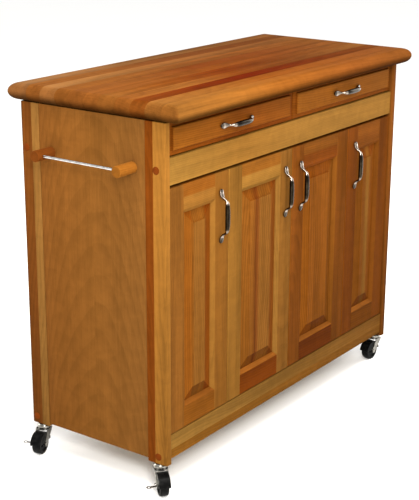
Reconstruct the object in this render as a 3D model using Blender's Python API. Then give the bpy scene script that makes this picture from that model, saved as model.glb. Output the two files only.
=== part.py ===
"""A rolling kitchen island: a butcher block top on a cabinet with two drawers and four doors.

Metres, +Z up. The front faces -Y, +X is on the right as seen from the front, and the origin is on the
floor under the middle of the overall box. Each mesh object is one physical piece. The pieces of an
assembly that moves hang on an empty that sits on its joint's axis.
"""
import math

import bmesh
import bpy
from mathutils import Matrix, Vector

# Overall sizes
GAP = 0.0003  # left between pieces that touch
HEIGHT = 0.876
CABINET_WIDTH = 0.998
CABINET_DEPTH = 0.402
BOARD = 0.019  # thickness of the solid boards

# How finely round shapes are divided
ROUND_SIDES = 24
SMALL_ROUND_SIDES = 20
PIN_SIDES = 16
CORNER_SEGMENTS = 4
SMOOTH_BELOW = 35  # degrees between faces
CUTTER_END = 0.01  # how far a cutting tool reaches past the face it cuts

# Butcher block top
TOP_THICKNESS = 0.038
TOP_SIDE_OVERHANG = 0.0085
TOP_FRONT_OVERHANG = 0.0388
TOP_BACK_OVERHANG = 0.0316
TOP_CORNER_RADIUS = 0.030
TOP_CORNER_SEGMENTS = 6
TOP_EDGE_SEGMENTS = 8

# Carcass
POST_WIDTH = 0.053
POST_BOTTOM = 0.069
POST_NOSE_RADIUS = 0.005
POST_EDGE_RADIUS = 0.0015
PANEL_BOTTOM = 0.0755
PANEL_RECESS = 0.0015
RAIL_SETBACK = 0.005  # rails behind the noses of the posts
UPPER_RAIL = (0.702, 0.7605)
LOWER_RAIL = (0.078, 0.1345)
BACK_THICKNESS = 0.009
BACK_SETBACK = 0.006
FLOOR_THICKNESS = 0.015
DECK_THICKNESS = 0.012
PARTITION_X = 0.262
PARTITION_THICKNESS = 0.016
DIVIDER_THICKNESS = 0.012
REAR_RAIL_HEIGHT = 0.058
SHELF_TOP = 0.430
SHELF_SETBACK = 0.050

# Doors, measured from their own front face
DOOR_BOTTOM = 0.137
DOOR_TOP = 0.695
DOOR_SETBACK = 0.006
DOOR_SIDE_GAP = 0.002
DOOR_JOINT_GAP = 0.003
STILE = 0.050
TOP_RAIL = 0.056
BOTTOM_RAIL = 0.0495
DOOR_EASE = 0.0012
STICKING = 0.009
STICKING_DEPTH = 0.005
GROOVE_FRONT = 0.0065
GROOVE_BACK = 0.0125
GROOVE_DEPTH = 0.008
PANEL_BEVEL = 0.0265
BEVEL_TOP = 0.0035
FIELD_FRONT = 0.001

# Drawers
DRAWER_SETBACK = 0.004
DRAWER_BOTTOM = 0.763
DRAWER_TOP = 0.835
DRAWER_SIDE_GAP = 0.0025
DRAWER_LIP = 0.015
DRAWER_LOWER_LIP = 0.012
DRAWER_LIP_DEPTH = 0.005
DRAWER_COVE = 0.003
COVE_BREAK = 1 / 3  # share of the cove's run and of its depth where its slope changes
BOX_CLEARANCE = 0.003
BOX_WALL = 0.012
BOX_BOTTOM = 0.7615
BOX_TOP = 0.822
BOX_DEPTH = 0.327
BOX_PANEL = (0.7665, 0.7705)

# Pulls
DOOR_PULL_Z = 0.596
DOOR_PULL_INSET = 0.0325
DRAWER_PULL_Z = 0.799
PULL_SIDES = 10
# Half of a pull: distance along it, height of its centre line, half width and half thickness
PULL_STATIONS = [
    (0.0000, 0.0212, 0.0052, 0.0044),
    (0.0170, 0.0209, 0.0050, 0.0043),
    (0.0290, 0.0198, 0.0043, 0.0038),
    (0.0350, 0.0180, 0.0032, 0.0030),
    (0.0385, 0.0145, 0.0028, 0.0027),
    (0.0415, 0.0100, 0.0030, 0.0027),
    (0.0450, 0.0064, 0.0046, 0.0030),
    (0.0510, 0.0042, 0.0063, 0.0032),
    (0.0570, 0.0034, 0.0060, 0.0028),
    (0.0605, 0.0028, 0.0042, 0.0022),
    (0.0620, 0.0022, 0.0018, 0.0012),
]

# Towel bar
PEG_RADIUS = 0.0125
PEG_Y = 0.114
PEG_Z = 0.734
PEG_REACH = 0.0525  # beyond the face of the posts
PEG_EDGE = 0.001
ROD_RADIUS = 0.003
ROD_INSET = 0.015
ROD_IN_PEG = 0.008
PEG_HOLE_TOOL = 0.03

# Casters, each in its own frame: stem on Z, axle along Y, the wheel trailing towards +X
STEM_RADIUS = 0.0053
STEM_LENGTH = 0.038
CAP_RADIUS = 0.0158
CAP_BOTTOM = 0.0587
CAP_LOWER_EASE = (0.0022, 0.0020)  # inwards and upwards
CAP_UPPER_EASE = 0.0025
CAP_RIM = 0.0055  # height of the top of its upright wall above its bottom
CROWN_RADIUS = 0.0157
CROWN = (0.0547, 0.0584)
CROWN_LAP = 0.0005  # depth of the crown above the tops of the legs
TRAIL = 0.022
WHEEL_RADIUS = 0.025
WHEEL_SIDES = 24
WHEEL_HALF_WIDTH = 0.0102
WHEEL_BEVEL = 0.0025
HUB_RADIUS = 0.008
HUB_HALF_WIDTH = 0.0108
HUB_FLARE = 0.0006
AXLE_RADIUS = 0.003
AXLE_CLEARANCE = 0.0004
AXLE_HEAD_RADIUS = 0.0048
AXLE_HEAD = 0.0012
AXLE_HEAD_SINK = 0.0002
LEG_INNER = 0.0135
LEG_OUTER = 0.0157
LEG_EYE_RADIUS = 0.006
LEG_EYE_ARC = (215, 390)  # degrees from the trailing direction
LEG_EYE_SEGMENTS = 7
LEG_HALF_ROOT = 0.011
HOOD_OUTER = (0.0283, 0.0132)
HOOD_INNER = (0.0263, 0.0113)
HOOD_CUT = 0.0036  # height of its lower rim above the axle
HOOD_SEGMENTS = 16
LEVER_PLATE = 0.0015
LEVER_HUB_RADIUS = 0.0058
LEVER_TAB = (0.0056, 0.0136)
LEVER_TAB_Z = 0.003
LEVER_ARM_HEIGHT = 0.006
LEVER_NECK = 0.0125
LEVER_RING = (0.0060, 0.0028)
LEVER_RING_REACH = 0.0036  # centre of the ring beyond the end of the neck
# Name, side of the cabinet in X and Y, direction in which the wheel trails, and whether it has a brake
CASTERS = [
    ("front_left", -1, -1, 231.3, True),
    ("rear_left", -1, 1, 196.0, True),
    ("front_right", 1, -1, 174.7, False),
    ("rear_right", 1, 1, 213.0, False),
]

# Places that follow from the sizes
HALF_WIDTH = CABINET_WIDTH / 2
HALF_DEPTH = CABINET_DEPTH / 2
TOP_UNDERSIDE = HEIGHT - TOP_THICKNESS
UNDER_TOP = TOP_UNDERSIDE - GAP
INNER_X = HALF_WIDTH - BOARD
FILL_X = INNER_X - GAP
RAIL_FRONT = -HALF_DEPTH + RAIL_SETBACK
RAIL_BACK = RAIL_FRONT + BOARD
BEHIND_RAIL = RAIL_BACK + GAP
BACK_FRONT = HALF_DEPTH - BACK_SETBACK - BACK_THICKNESS
BEFORE_BACK = BACK_FRONT - GAP
FLOOR_TOP = LOWER_RAIL[1]
DECK_TOP = UPPER_RAIL[1]
UNDER_DECK = DECK_TOP - DECK_THICKNESS - GAP
REAR_RAIL_FRONT = BEFORE_BACK - BOARD
PARTITION_HALF = PARTITION_THICKNESS / 2
DOOR_FRONT = -HALF_DEPTH + DOOR_SETBACK
DOOR_HEIGHT = DOOR_TOP - DOOR_BOTTOM
DRAWER_FRONT = -HALF_DEPTH + DRAWER_SETBACK
DRAWER_HALF_WIDTH = (INNER_X - DRAWER_SIDE_GAP - DOOR_JOINT_GAP / 2) / 2
DRAWER_X = (INNER_X - DRAWER_SIDE_GAP + DOOR_JOINT_GAP / 2) / 2
POST_CENTRE_X = HALF_WIDTH - BOARD / 2
POST_CENTRE_Y = HALF_DEPTH - POST_WIDTH / 2
# The floor point under the middle of the overall box, in the cabinet's own centred frame
BOX_MIDDLE = ((TOP_SIDE_OVERHANG - PEG_REACH) / 2, (TOP_BACK_OVERHANG - TOP_FRONT_OVERHANG) / 2)


def clear_scene():
    for thing in list(bpy.data.objects):
        bpy.data.objects.remove(thing)


def make_material(name, colour, roughness, metallic=0.0):
    material = bpy.data.materials.new(name)
    material.use_nodes = True
    shader = material.node_tree.nodes["Principled BSDF"]
    shader.inputs["Base Color"].default_value = (*colour, 1.0)
    shader.inputs["Roughness"].default_value = roughness
    shader.inputs["Metallic"].default_value = metallic
    return material


def make_empty(name, location, parent=None, turn=0.0):
    empty = bpy.data.objects.new(name, None)
    bpy.context.collection.objects.link(empty)
    empty.empty_display_size = 0.03
    empty.location = location
    empty.rotation_euler = (0, 0, turn)
    empty.parent = parent
    return empty


def make_piece(name, mesh, material, parent, location=(0, 0, 0), smooth=False):
    mesh.name = name
    mesh.materials.clear()
    mesh.materials.append(material)
    if smooth:
        mesh.shade_smooth()
        mesh.set_sharp_from_angle(angle=math.radians(SMOOTH_BELOW))
    piece = bpy.data.objects.new(name, mesh)
    bpy.context.collection.objects.link(piece)
    piece.parent = parent
    piece.location = location
    return piece


def mesh_from(model):
    bmesh.ops.recalc_face_normals(model, faces=model.faces)
    mesh = bpy.data.meshes.new("mesh")
    model.to_mesh(mesh)
    model.free()
    return mesh


def skin(rings, joined=False):
    """Cover a row of matching rings of points, either capped at its ends or joined into a loop."""
    model = bmesh.new()
    loops = [[model.verts.new(point) for point in ring] for ring in rings]
    pairs = list(zip(loops, loops[1:]))
    if joined:
        pairs.append((loops[-1], loops[0]))
    else:
        model.faces.new(loops[0])
        model.faces.new(loops[-1])
    for first, second in pairs:
        for i in range(len(first)):
            j = (i + 1) % len(first)
            model.faces.new([first[i], first[j], second[j], second[i]])
    return mesh_from(model)


def block_mesh(low, high):
    """A rectangular block between two corners."""
    return skin([rectangle((low[0], high[0], low[2], high[2]), y) for y in (low[1], high[1])])


def rectangle(sides, y):
    """The four corners of an upright rectangle, from its left, right, bottom and top, at a depth."""
    left, right, low, high = sides
    return [Vector((x, y, z)) for x, z in ((left, low), (right, low), (right, high), (left, high))]


def flat_rectangle(sides, z):
    """The four corners of a level rectangle, from its left, right, near and far sides, at a height."""
    left, right, near, far = sides
    return [Vector((x, y, z)) for x, y in ((left, near), (right, near), (right, far), (left, far))]


def inset(sides, distance):
    """The sides of a rectangle, each moved inwards."""
    left, right, low, high = sides
    return (left + distance, right - distance, low + distance, high - distance)


def board(name, low, high, material, parent):
    """A plain board between two corners, with its origin at its centre."""
    centre = (Vector(low) + Vector(high)) / 2
    half = (Vector(high) - Vector(low)) / 2
    return make_piece(name, block_mesh(-half, half), material, parent, centre)


def rounded_outline(half_x, half_y, radii, z, segments=CORNER_SEGMENTS):
    """A rectangle with a rounded corner in each quadrant, counter-clockwise from +X +Y."""
    points = []
    for quadrant, radius in enumerate(radii):
        sign_x = (1, -1, -1, 1)[quadrant]
        sign_y = (1, 1, -1, -1)[quadrant]
        for step in range(segments + 1):
            angle = math.pi / 2 * (quadrant + step / segments)
            x = sign_x * (half_x - radius) + radius * math.cos(angle)
            y = sign_y * (half_y - radius) + radius * math.sin(angle)
            points.append(Vector((x, y, z)))
    return points


def turned_mesh(profile, sides=ROUND_SIDES, joined=False, start=0.0):
    """A solid of revolution about Z from (radius, z) points."""
    angles = [2 * math.pi * i / sides + start for i in range(sides)]
    rings = [[Vector((r * math.cos(a), r * math.sin(a), z)) for a in angles] for r, z in profile]
    return skin(rings, joined)


def combined_mesh(base, tools, operation):
    """The mesh that an exact Boolean leaves of a mesh and its tools."""
    scene = bpy.context.collection.objects
    target = bpy.data.objects.new("target", base)
    scene.link(target)
    helpers = []
    for tool in tools:
        helper = bpy.data.objects.new("helper", tool)
        scene.link(helper)
        helpers.append(helper)
        modifier = target.modifiers.new("boolean", "BOOLEAN")
        modifier.operation = operation
        modifier.object = helper
    bpy.context.view_layer.update()
    graph = bpy.context.evaluated_depsgraph_get()
    result = bpy.data.meshes.new_from_object(target.evaluated_get(graph))
    for spare in [target, *helpers]:
        bpy.data.objects.remove(spare)
    return result


def moved(mesh, offset=(0, 0, 0), turn=None):
    """A mesh turned by a matrix, if one is given, and then shifted."""
    if turn:
        mesh.transform(turn)
    mesh.transform(Matrix.Translation(offset))
    return mesh


def about_y(mesh):
    """Turn a mesh made about Z so that it lies about Y."""
    return moved(mesh, turn=Matrix.Rotation(math.pi / 2, 4, "X"))


def butcher_block(material, parent):
    """The top: half-round edges all round and rounded corners."""
    half_x = HALF_WIDTH + TOP_SIDE_OVERHANG
    half_y = HALF_DEPTH + (TOP_FRONT_OVERHANG + TOP_BACK_OVERHANG) / 2
    radius = TOP_THICKNESS / 2
    rings = []
    for step in range(TOP_EDGE_SEGMENTS + 1):
        angle = math.pi * (step / TOP_EDGE_SEGMENTS - 0.5)
        shrink = radius * (1 - math.cos(angle))
        height = TOP_UNDERSIDE + radius * (1 + math.sin(angle))
        corners = [TOP_CORNER_RADIUS - shrink] * 4
        outline = rounded_outline(half_x - shrink, half_y - shrink, corners, height, TOP_CORNER_SEGMENTS)
        rings.append(outline)
    middle = (TOP_BACK_OVERHANG - TOP_FRONT_OVERHANG) / 2
    make_piece("butcher_block_top", skin(rings), material, parent, (0, middle, 0), smooth=True)


def post(name, side_x, side_y, material, parent):
    """A corner board on edge, its outer end rounded to a nose, bored for the caster's stem."""
    rear_radius, front_radius = POST_NOSE_RADIUS, POST_EDGE_RADIUS
    if side_y < 0:
        rear_radius, front_radius = front_radius, rear_radius
    radii = [rear_radius, rear_radius, front_radius, front_radius]
    outlines = [rounded_outline(BOARD / 2, POST_WIDTH / 2, radii, z) for z in (0, UNDER_TOP - POST_BOTTOM)]
    bore_radius = STEM_RADIUS + GAP
    bore = turned_mesh([(bore_radius, -CUTTER_END), (bore_radius, STEM_LENGTH + GAP)])
    mesh = combined_mesh(skin(outlines), [bore], "DIFFERENCE")
    place = (side_x * POST_CENTRE_X, side_y * POST_CENTRE_Y, POST_BOTTOM)
    make_piece(name, mesh, material, parent, place, smooth=True)


def carcass(woods, parent):
    """Everything that is fixed: posts, panels, rails, floor, partitions, shelves and drawer deck."""
    for end, side_y in (("front", -1), ("rear", 1)):
        for side, side_x in (("left", -1), ("right", 1)):
            post(f"post_{end}_{side}", side_x, side_y, woods["post"], parent)

    between_posts = HALF_DEPTH - POST_WIDTH - GAP
    for side, sign in (("left", -1), ("right", 1)):
        faces = sorted((sign * INNER_X, sign * (HALF_WIDTH - PANEL_RECESS)))
        board(f"side_panel_{side}", (faces[0], -between_posts, PANEL_BOTTOM),
              (faces[1], between_posts, UNDER_TOP), woods["panel"], parent)

    for name, levels in (("upper_front_rail", UPPER_RAIL), ("lower_front_rail", LOWER_RAIL)):
        board(name, (-FILL_X, RAIL_FRONT, levels[0]), (FILL_X, RAIL_BACK, levels[1]), woods["rail"], parent)
    board("back_panel", (-FILL_X, BACK_FRONT, LOWER_RAIL[0]),
          (FILL_X, BACK_FRONT + BACK_THICKNESS, UNDER_TOP), woods["panel"], parent)
    board("rear_top_rail", (-FILL_X, REAR_RAIL_FRONT, UNDER_TOP - REAR_RAIL_HEIGHT),
          (FILL_X, BEFORE_BACK, UNDER_TOP), woods["inside"], parent)
    board("cabinet_floor", (-FILL_X, BEHIND_RAIL, FLOOR_TOP - FLOOR_THICKNESS),
          (FILL_X, BEFORE_BACK, FLOOR_TOP), woods["inside"], parent)
    board("drawer_deck", (-FILL_X, BEHIND_RAIL, DECK_TOP - DECK_THICKNESS),
          (FILL_X, BEFORE_BACK, DECK_TOP), woods["inside"], parent)
    board("drawer_divider", (-DIVIDER_THICKNESS / 2, DRAWER_FRONT + BOARD + GAP, DECK_TOP + GAP),
          (DIVIDER_THICKNESS / 2, REAR_RAIL_FRONT - GAP, UNDER_TOP), woods["inside"], parent)

    for side, sign in (("left", -1), ("right", 1)):
        middle = sign * PARTITION_X
        board(f"partition_{side}", (middle - PARTITION_HALF, DOOR_FRONT + BOARD + GAP, FLOOR_TOP + GAP),
              (middle + PARTITION_HALF, BEFORE_BACK, UNDER_DECK), woods["inside"], parent)

    bay_edge = PARTITION_X - PARTITION_HALF - GAP
    outer_bay = (PARTITION_X + PARTITION_HALF + GAP, FILL_X)
    bays = {"left": (-outer_bay[1], -outer_bay[0]), "middle": (-bay_edge, bay_edge), "right": outer_bay}
    for side, (start, end) in bays.items():
        board(f"shelf_{side}", (start, -HALF_DEPTH + SHELF_SETBACK, SHELF_TOP - FLOOR_THICKNESS),
              (end, BEFORE_BACK, SHELF_TOP), woods["inside"], parent)


def towel_bar(woods, metal, parent):
    """Two pegs that stand out of the left side panel, with a thin rod between them."""
    panel_face = -(HALF_WIDTH - PANEL_RECESS) - GAP
    length = HALF_WIDTH + PEG_REACH + panel_face
    along_x = Matrix.Rotation(-math.pi / 2, 4, "Y")
    for name, sign in (("front", -1), ("rear", 1)):
        profile = [(PEG_RADIUS, 0), (PEG_RADIUS, length - PEG_EDGE), (PEG_RADIUS - PEG_EDGE, length)]
        peg = moved(turned_mesh(profile), turn=along_x)
        hole_radius = ROD_RADIUS + GAP
        hole = turned_mesh([(hole_radius, 0), (hole_radius, PEG_HOLE_TOOL)], PIN_SIDES)
        hole_floor = sign * (PEG_RADIUS - ROD_IN_PEG - GAP)
        inwards = Matrix.Rotation(sign * math.pi / 2, 4, "X")
        hole = moved(hole, (ROD_INSET - length, -hole_floor, 0), inwards)
        mesh = combined_mesh(peg, [hole], "DIFFERENCE")
        place = (panel_face, sign * PEG_Y, PEG_Z)
        make_piece(f"towel_peg_{name}", mesh, woods["dowel"], parent, place, smooth=True)
    half = PEG_Y - PEG_RADIUS + ROD_IN_PEG
    rod = about_y(turned_mesh([(ROD_RADIUS, -half), (ROD_RADIUS, half)], PIN_SIDES))
    rod_x = -HALF_WIDTH - PEG_REACH + ROD_INSET
    make_piece("towel_rod", rod, metal, parent, (rod_x, 0, PEG_Z), smooth=True)


def pull_mesh():
    """A bow pull, its length along Z and standing out towards -Y, with leaf-shaped feet on Y = 0."""
    upper = [Vector((0, -height, along)) for along, height, _, _ in PULL_STATIONS]
    lower = [Vector((0, -height, -along)) for along, height, _, _ in PULL_STATIONS[1:]]
    centres = lower[::-1] + upper
    halves = [station[2:] for station in PULL_STATIONS]
    sizes = halves[:0:-1] + halves
    rings = []
    for i, (centre, (half_width, half_thickness)) in enumerate(zip(centres, sizes)):
        tangent = (centres[min(i + 1, len(centres) - 1)] - centres[max(i - 1, 0)]).normalized()
        across = Vector((1, 0, 0))
        outward = across.cross(tangent)
        ring = []
        for k in range(PULL_SIDES):
            angle = 2 * math.pi * k / PULL_SIDES
            sideways = across * half_width * math.cos(angle)
            point = centre + sideways + outward * half_thickness * math.sin(angle)
            point.y = min(point.y, -GAP)
            ring.append(point)
        rings.append(ring)
    return skin(rings)


def add_pull(name, material, parent, location, flat=False):
    pull = make_piece(name, pull_mesh(), material, parent, location, smooth=True)
    if flat:
        pull.rotation_euler = (0, math.pi / 2, 0)


def door(number, hinge_x, free_x, wood, panel_wood, metal, parent):
    """A raised-panel door, hung on an empty at its hinge line, on the front arris of the hinge stile."""
    pivot = make_empty(f"door_{number}_hinge", (hinge_x, DOOR_FRONT, DOOR_BOTTOM), parent)
    reach = free_x - hinge_x
    outer = (min(0, reach), max(0, reach), 0, DOOR_HEIGHT)
    sight = (outer[0] + STILE + STICKING, outer[1] - STILE - STICKING,
             BOTTOM_RAIL + STICKING, DOOR_HEIGHT - TOP_RAIL - STICKING)
    frame_rings = [
        rectangle(outer, BOARD),
        rectangle(outer, DOOR_EASE),
        rectangle(inset(outer, DOOR_EASE), 0),
        rectangle(inset(sight, -STICKING), 0),
        rectangle(sight, STICKING_DEPTH),
        rectangle(sight, GROOVE_FRONT),
        rectangle(inset(sight, -GROOVE_DEPTH), GROOVE_FRONT),
        rectangle(inset(sight, -GROOVE_DEPTH), GROOVE_BACK),
        rectangle(sight, GROOVE_BACK),
        rectangle(sight, BOARD),
    ]
    make_piece(f"door_frame_{number}", skin(frame_rings, joined=True), wood, pivot)
    tongue = inset(sight, GAP - GROOVE_DEPTH)
    field = inset(sight, PANEL_BEVEL)
    panel_rings = [
        rectangle(tongue, GROOVE_BACK - GAP),
        rectangle(tongue, GROOVE_FRONT + GAP),
        rectangle(sight, GROOVE_FRONT + GAP),
        rectangle(field, BEVEL_TOP),
        rectangle(field, FIELD_FRONT),
    ]
    make_piece(f"door_panel_{number}", skin(panel_rings), panel_wood, pivot)
    pull_x = reach - math.copysign(DOOR_PULL_INSET, reach)
    add_pull(f"door_pull_{number}", metal, pivot, (pull_x, 0, DOOR_PULL_Z - DOOR_BOTTOM))


def doors(woods, metal, parent):
    """Four inset doors. The outer two hang on the posts and the inner two on the partitions."""
    half_joint = DOOR_JOINT_GAP / 2
    outer = (INNER_X - DOOR_SIDE_GAP, PARTITION_X + half_joint)
    inner = (PARTITION_X - half_joint, half_joint)
    places = [(-outer[0], -outer[1]), (-inner[0], -inner[1]), (inner[0], inner[1]), (outer[0], outer[1])]
    for number, (hinge_x, free_x) in enumerate(places, start=1):
        door(number, hinge_x, free_x, woods["door"], woods["door_panel"], metal, parent)


def drawer(side, sign, woods, metal, parent):
    """A drawer with a routed front, on an empty at the lower middle of its front face."""
    slide = make_empty(f"drawer_{side}_slide", (sign * DRAWER_X, DRAWER_FRONT, 0), parent)
    outer = (-DRAWER_HALF_WIDTH, DRAWER_HALF_WIDTH, DRAWER_BOTTOM, DRAWER_TOP)
    lip = (outer[0] + DRAWER_LIP, outer[1] - DRAWER_LIP,
           DRAWER_BOTTOM + DRAWER_LOWER_LIP, DRAWER_TOP - DRAWER_LOWER_LIP)
    front_rings = [
        rectangle(outer, BOARD),
        rectangle(outer, DRAWER_LIP_DEPTH + DOOR_EASE),
        rectangle(inset(outer, DOOR_EASE), DRAWER_LIP_DEPTH),
        rectangle(lip, DRAWER_LIP_DEPTH),
        rectangle(inset(lip, DRAWER_COVE * COVE_BREAK), DRAWER_LIP_DEPTH * COVE_BREAK),
        rectangle(inset(lip, DRAWER_COVE), 0),
    ]
    make_piece(f"drawer_front_{side}", skin(front_rings), woods["drawer"], slide)

    by_divider = DIVIDER_THICKNESS / 2 + BOX_CLEARANCE - DRAWER_X
    by_post = INNER_X - BOX_CLEARANCE - DRAWER_X
    low_x, high_x = sorted((sign * by_divider, sign * by_post))
    low_y = BOARD + GAP
    plan = (low_x, high_x, low_y, low_y + BOX_DEPTH)
    rings = [
        flat_rectangle(plan, BOX_BOTTOM),
        flat_rectangle(plan, BOX_TOP),
        flat_rectangle(inset(plan, BOX_WALL), BOX_TOP),
        flat_rectangle(inset(plan, BOX_WALL), BOX_BOTTOM),
    ]
    make_piece(f"drawer_box_{side}", skin(rings, joined=True), woods["inside"], slide)
    left, right, near, far = inset(plan, BOX_WALL + GAP)
    board(f"drawer_bottom_{side}", (left, near, BOX_PANEL[0]), (right, far, BOX_PANEL[1]),
          woods["inside"], slide)
    add_pull(f"drawer_pull_{side}", metal, slide, (0, 0, DRAWER_PULL_Z), flat=True)


def fork_mesh(brake):
    """A crown plate, two legs that reach back to the axle, and the axle with its heads."""
    crown = turned_mesh([(CROWN_RADIUS, CROWN[0]), (CROWN_RADIUS, CROWN[1])])
    axle_z = WHEEL_RADIUS
    eye = []
    for step in range(LEG_EYE_SEGMENTS + 1):
        angle = math.radians(LEG_EYE_ARC[0] + (LEG_EYE_ARC[1] - LEG_EYE_ARC[0]) * step / LEG_EYE_SEGMENTS)
        eye.append((TRAIL + LEG_EYE_RADIUS * math.cos(angle), axle_z + LEG_EYE_RADIUS * math.sin(angle)))
    leg_top = CROWN[1] - CROWN_LAP
    outline = [(-LEG_HALF_ROOT, leg_top), (-LEG_HALF_ROOT, CROWN[0]), *eye, (LEG_HALF_ROOT, leg_top)]
    legs = []
    for sign in (-1, 1):
        rings = [[Vector((x, sign * y, z)) for x, z in outline] for y in (LEG_INNER, LEG_OUTER)]
        legs.append(skin(rings))
    left_end = LEG_OUTER + (LEVER_PLATE + 2 * GAP if brake else 0)
    profile = [
        (AXLE_HEAD_RADIUS, -LEG_OUTER - AXLE_HEAD),
        (AXLE_HEAD_RADIUS, -LEG_OUTER + AXLE_HEAD_SINK),
        (AXLE_RADIUS, -LEG_OUTER + AXLE_HEAD_SINK),
        (AXLE_RADIUS, left_end),
        (AXLE_HEAD_RADIUS, left_end),
        (AXLE_HEAD_RADIUS, left_end + AXLE_HEAD),
    ]
    axle = moved(about_y(turned_mesh(profile)), (TRAIL, 0, axle_z))
    return combined_mesh(crown, [*legs, axle], "UNION")


def hood_mesh():
    """A cover over the upper half of the wheel, open below, made about its axle."""
    rings = {}
    for name, (radius, half) in (("outer", HOOD_OUTER), ("inner", HOOD_INNER)):
        start = math.asin(HOOD_CUT / radius)
        angles = [start + (math.pi - 2 * start) * i / HOOD_SEGMENTS for i in range(HOOD_SEGMENTS + 1)]
        arc = [(radius * math.cos(a), radius * math.sin(a)) for a in angles]
        for side in (-1, 1):
            rings[name, side] = [Vector((x, side * half, z)) for x, z in arc]
    model = bmesh.new()
    loops = {key: [model.verts.new(point) for point in points] for key, points in rings.items()}
    for name in ("inner", "outer"):
        for i in range(HOOD_SEGMENTS):
            first = loops[name, -1]
            second = loops[name, 1]
            model.faces.new([first[i], first[i + 1], second[i + 1], second[i]])
        for side in (-1, 1):
            model.faces.new(loops[name, side])
    ends = {key: (loop[0], loop[-1]) for key, loop in loops.items()}
    corners = {name: [ends[name, -1][0], ends[name, -1][1], ends[name, 1][1], ends[name, 1][0]]
               for name in ("inner", "outer")}
    for i in range(4):
        j = (i + 1) % 4
        model.faces.new([corners["outer"][i], corners["outer"][j], corners["inner"][j], corners["inner"][i]])
    return mesh_from(model)


def wheel_mesh():
    """A wheel about its axle, with a flat of its many-sided tread on the floor."""
    tread = WHEEL_RADIUS / math.cos(math.pi / WHEEL_SIDES)
    half_profile = [
        (AXLE_RADIUS + AXLE_CLEARANCE, HUB_HALF_WIDTH),
        (HUB_RADIUS, HUB_HALF_WIDTH),
        (HUB_RADIUS + HUB_FLARE, WHEEL_HALF_WIDTH),
        (tread - WHEEL_BEVEL, WHEEL_HALF_WIDTH),
        (tread, WHEEL_HALF_WIDTH - WHEEL_BEVEL),
    ]
    profile = half_profile + [(r, -z) for r, z in reversed(half_profile)]
    return about_y(turned_mesh(profile, WHEEL_SIDES, joined=True, start=math.pi / WHEEL_SIDES))


def lever_mesh():
    """A brake lever: a plate with an eye round the axle, bent out to a tab that ends in a ring."""
    near = -LEG_OUTER - GAP
    outer = near - LEVER_PLATE
    along_y = Matrix.Rotation(math.pi / 2, 4, "X")
    hub = turned_mesh([(LEVER_HUB_RADIUS, 0), (LEVER_HUB_RADIUS, LEVER_PLATE)], SMALL_ROUND_SIDES)
    hub = moved(hub, (0, near, 0), along_y)
    arm = block_mesh((0, outer, LEVER_TAB_Z - LEVER_ARM_HEIGHT), (LEVER_TAB[1], near, LEVER_TAB_Z))
    tab_floor = LEVER_TAB_Z - LEVER_PLATE
    neck = block_mesh((LEVER_TAB[0], outer - LEVER_NECK, tab_floor), (LEVER_TAB[1], near, LEVER_TAB_Z))
    middle = sum(LEVER_TAB) / 2
    ring_place = (middle, outer - LEVER_NECK - LEVER_RING_REACH, 0)
    ring = turned_mesh([(LEVER_RING[0], tab_floor), (LEVER_RING[0], LEVER_TAB_Z)], SMALL_ROUND_SIDES)
    ring = moved(ring, ring_place)
    solid = combined_mesh(hub, [arm, neck, ring], "UNION")
    eye_radius = AXLE_RADIUS + AXLE_CLEARANCE
    eye = turned_mesh([(eye_radius, -CUTTER_END), (eye_radius, CUTTER_END)], SMALL_ROUND_SIDES)
    eye = moved(eye, (0, near, 0), along_y)
    hole = turned_mesh([(LEVER_RING[1], -CUTTER_END), (LEVER_RING[1], CUTTER_END)], PIN_SIDES)
    hole = moved(hole, ring_place)
    return combined_mesh(solid, [eye, hole], "DIFFERENCE")


def caster(name, side_x, side_y, direction, brake, zinc, steel, hood_plastic, tyre, parent):
    """A swivel stem caster on an empty that stands on the floor under its stem."""
    place = (side_x * POST_CENTRE_X, side_y * POST_CENTRE_Y, 0)
    stem = make_empty(f"caster_{name}_swivel", place, parent)
    shoulder = POST_BOTTOM - GAP
    profile = [
        (CAP_RADIUS - CAP_LOWER_EASE[0], CAP_BOTTOM),
        (CAP_RADIUS, CAP_BOTTOM + CAP_LOWER_EASE[1]),
        (CAP_RADIUS, CAP_BOTTOM + CAP_RIM),
        (CAP_RADIUS - CAP_UPPER_EASE, shoulder),
        (STEM_RADIUS, shoulder),
        (STEM_RADIUS, POST_BOTTOM + STEM_LENGTH),
    ]
    make_piece(f"caster_stem_{name}", turned_mesh(profile), zinc, stem, smooth=True)
    swivel = make_empty(f"caster_{name}_turn", (0, 0, 0), stem, math.radians(direction))
    make_piece(f"caster_fork_{name}", fork_mesh(brake), zinc, swivel, smooth=True)
    axle = make_empty(f"caster_{name}_axle", (TRAIL, 0, WHEEL_RADIUS), swivel)
    make_piece(f"caster_hood_{name}", hood_mesh(), hood_plastic, axle, smooth=True)
    make_piece(f"caster_wheel_{name}", wheel_mesh(), tyre, axle, smooth=True)
    if brake:
        make_piece(f"brake_lever_{name}", lever_mesh(), steel, axle, smooth=True)


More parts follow.
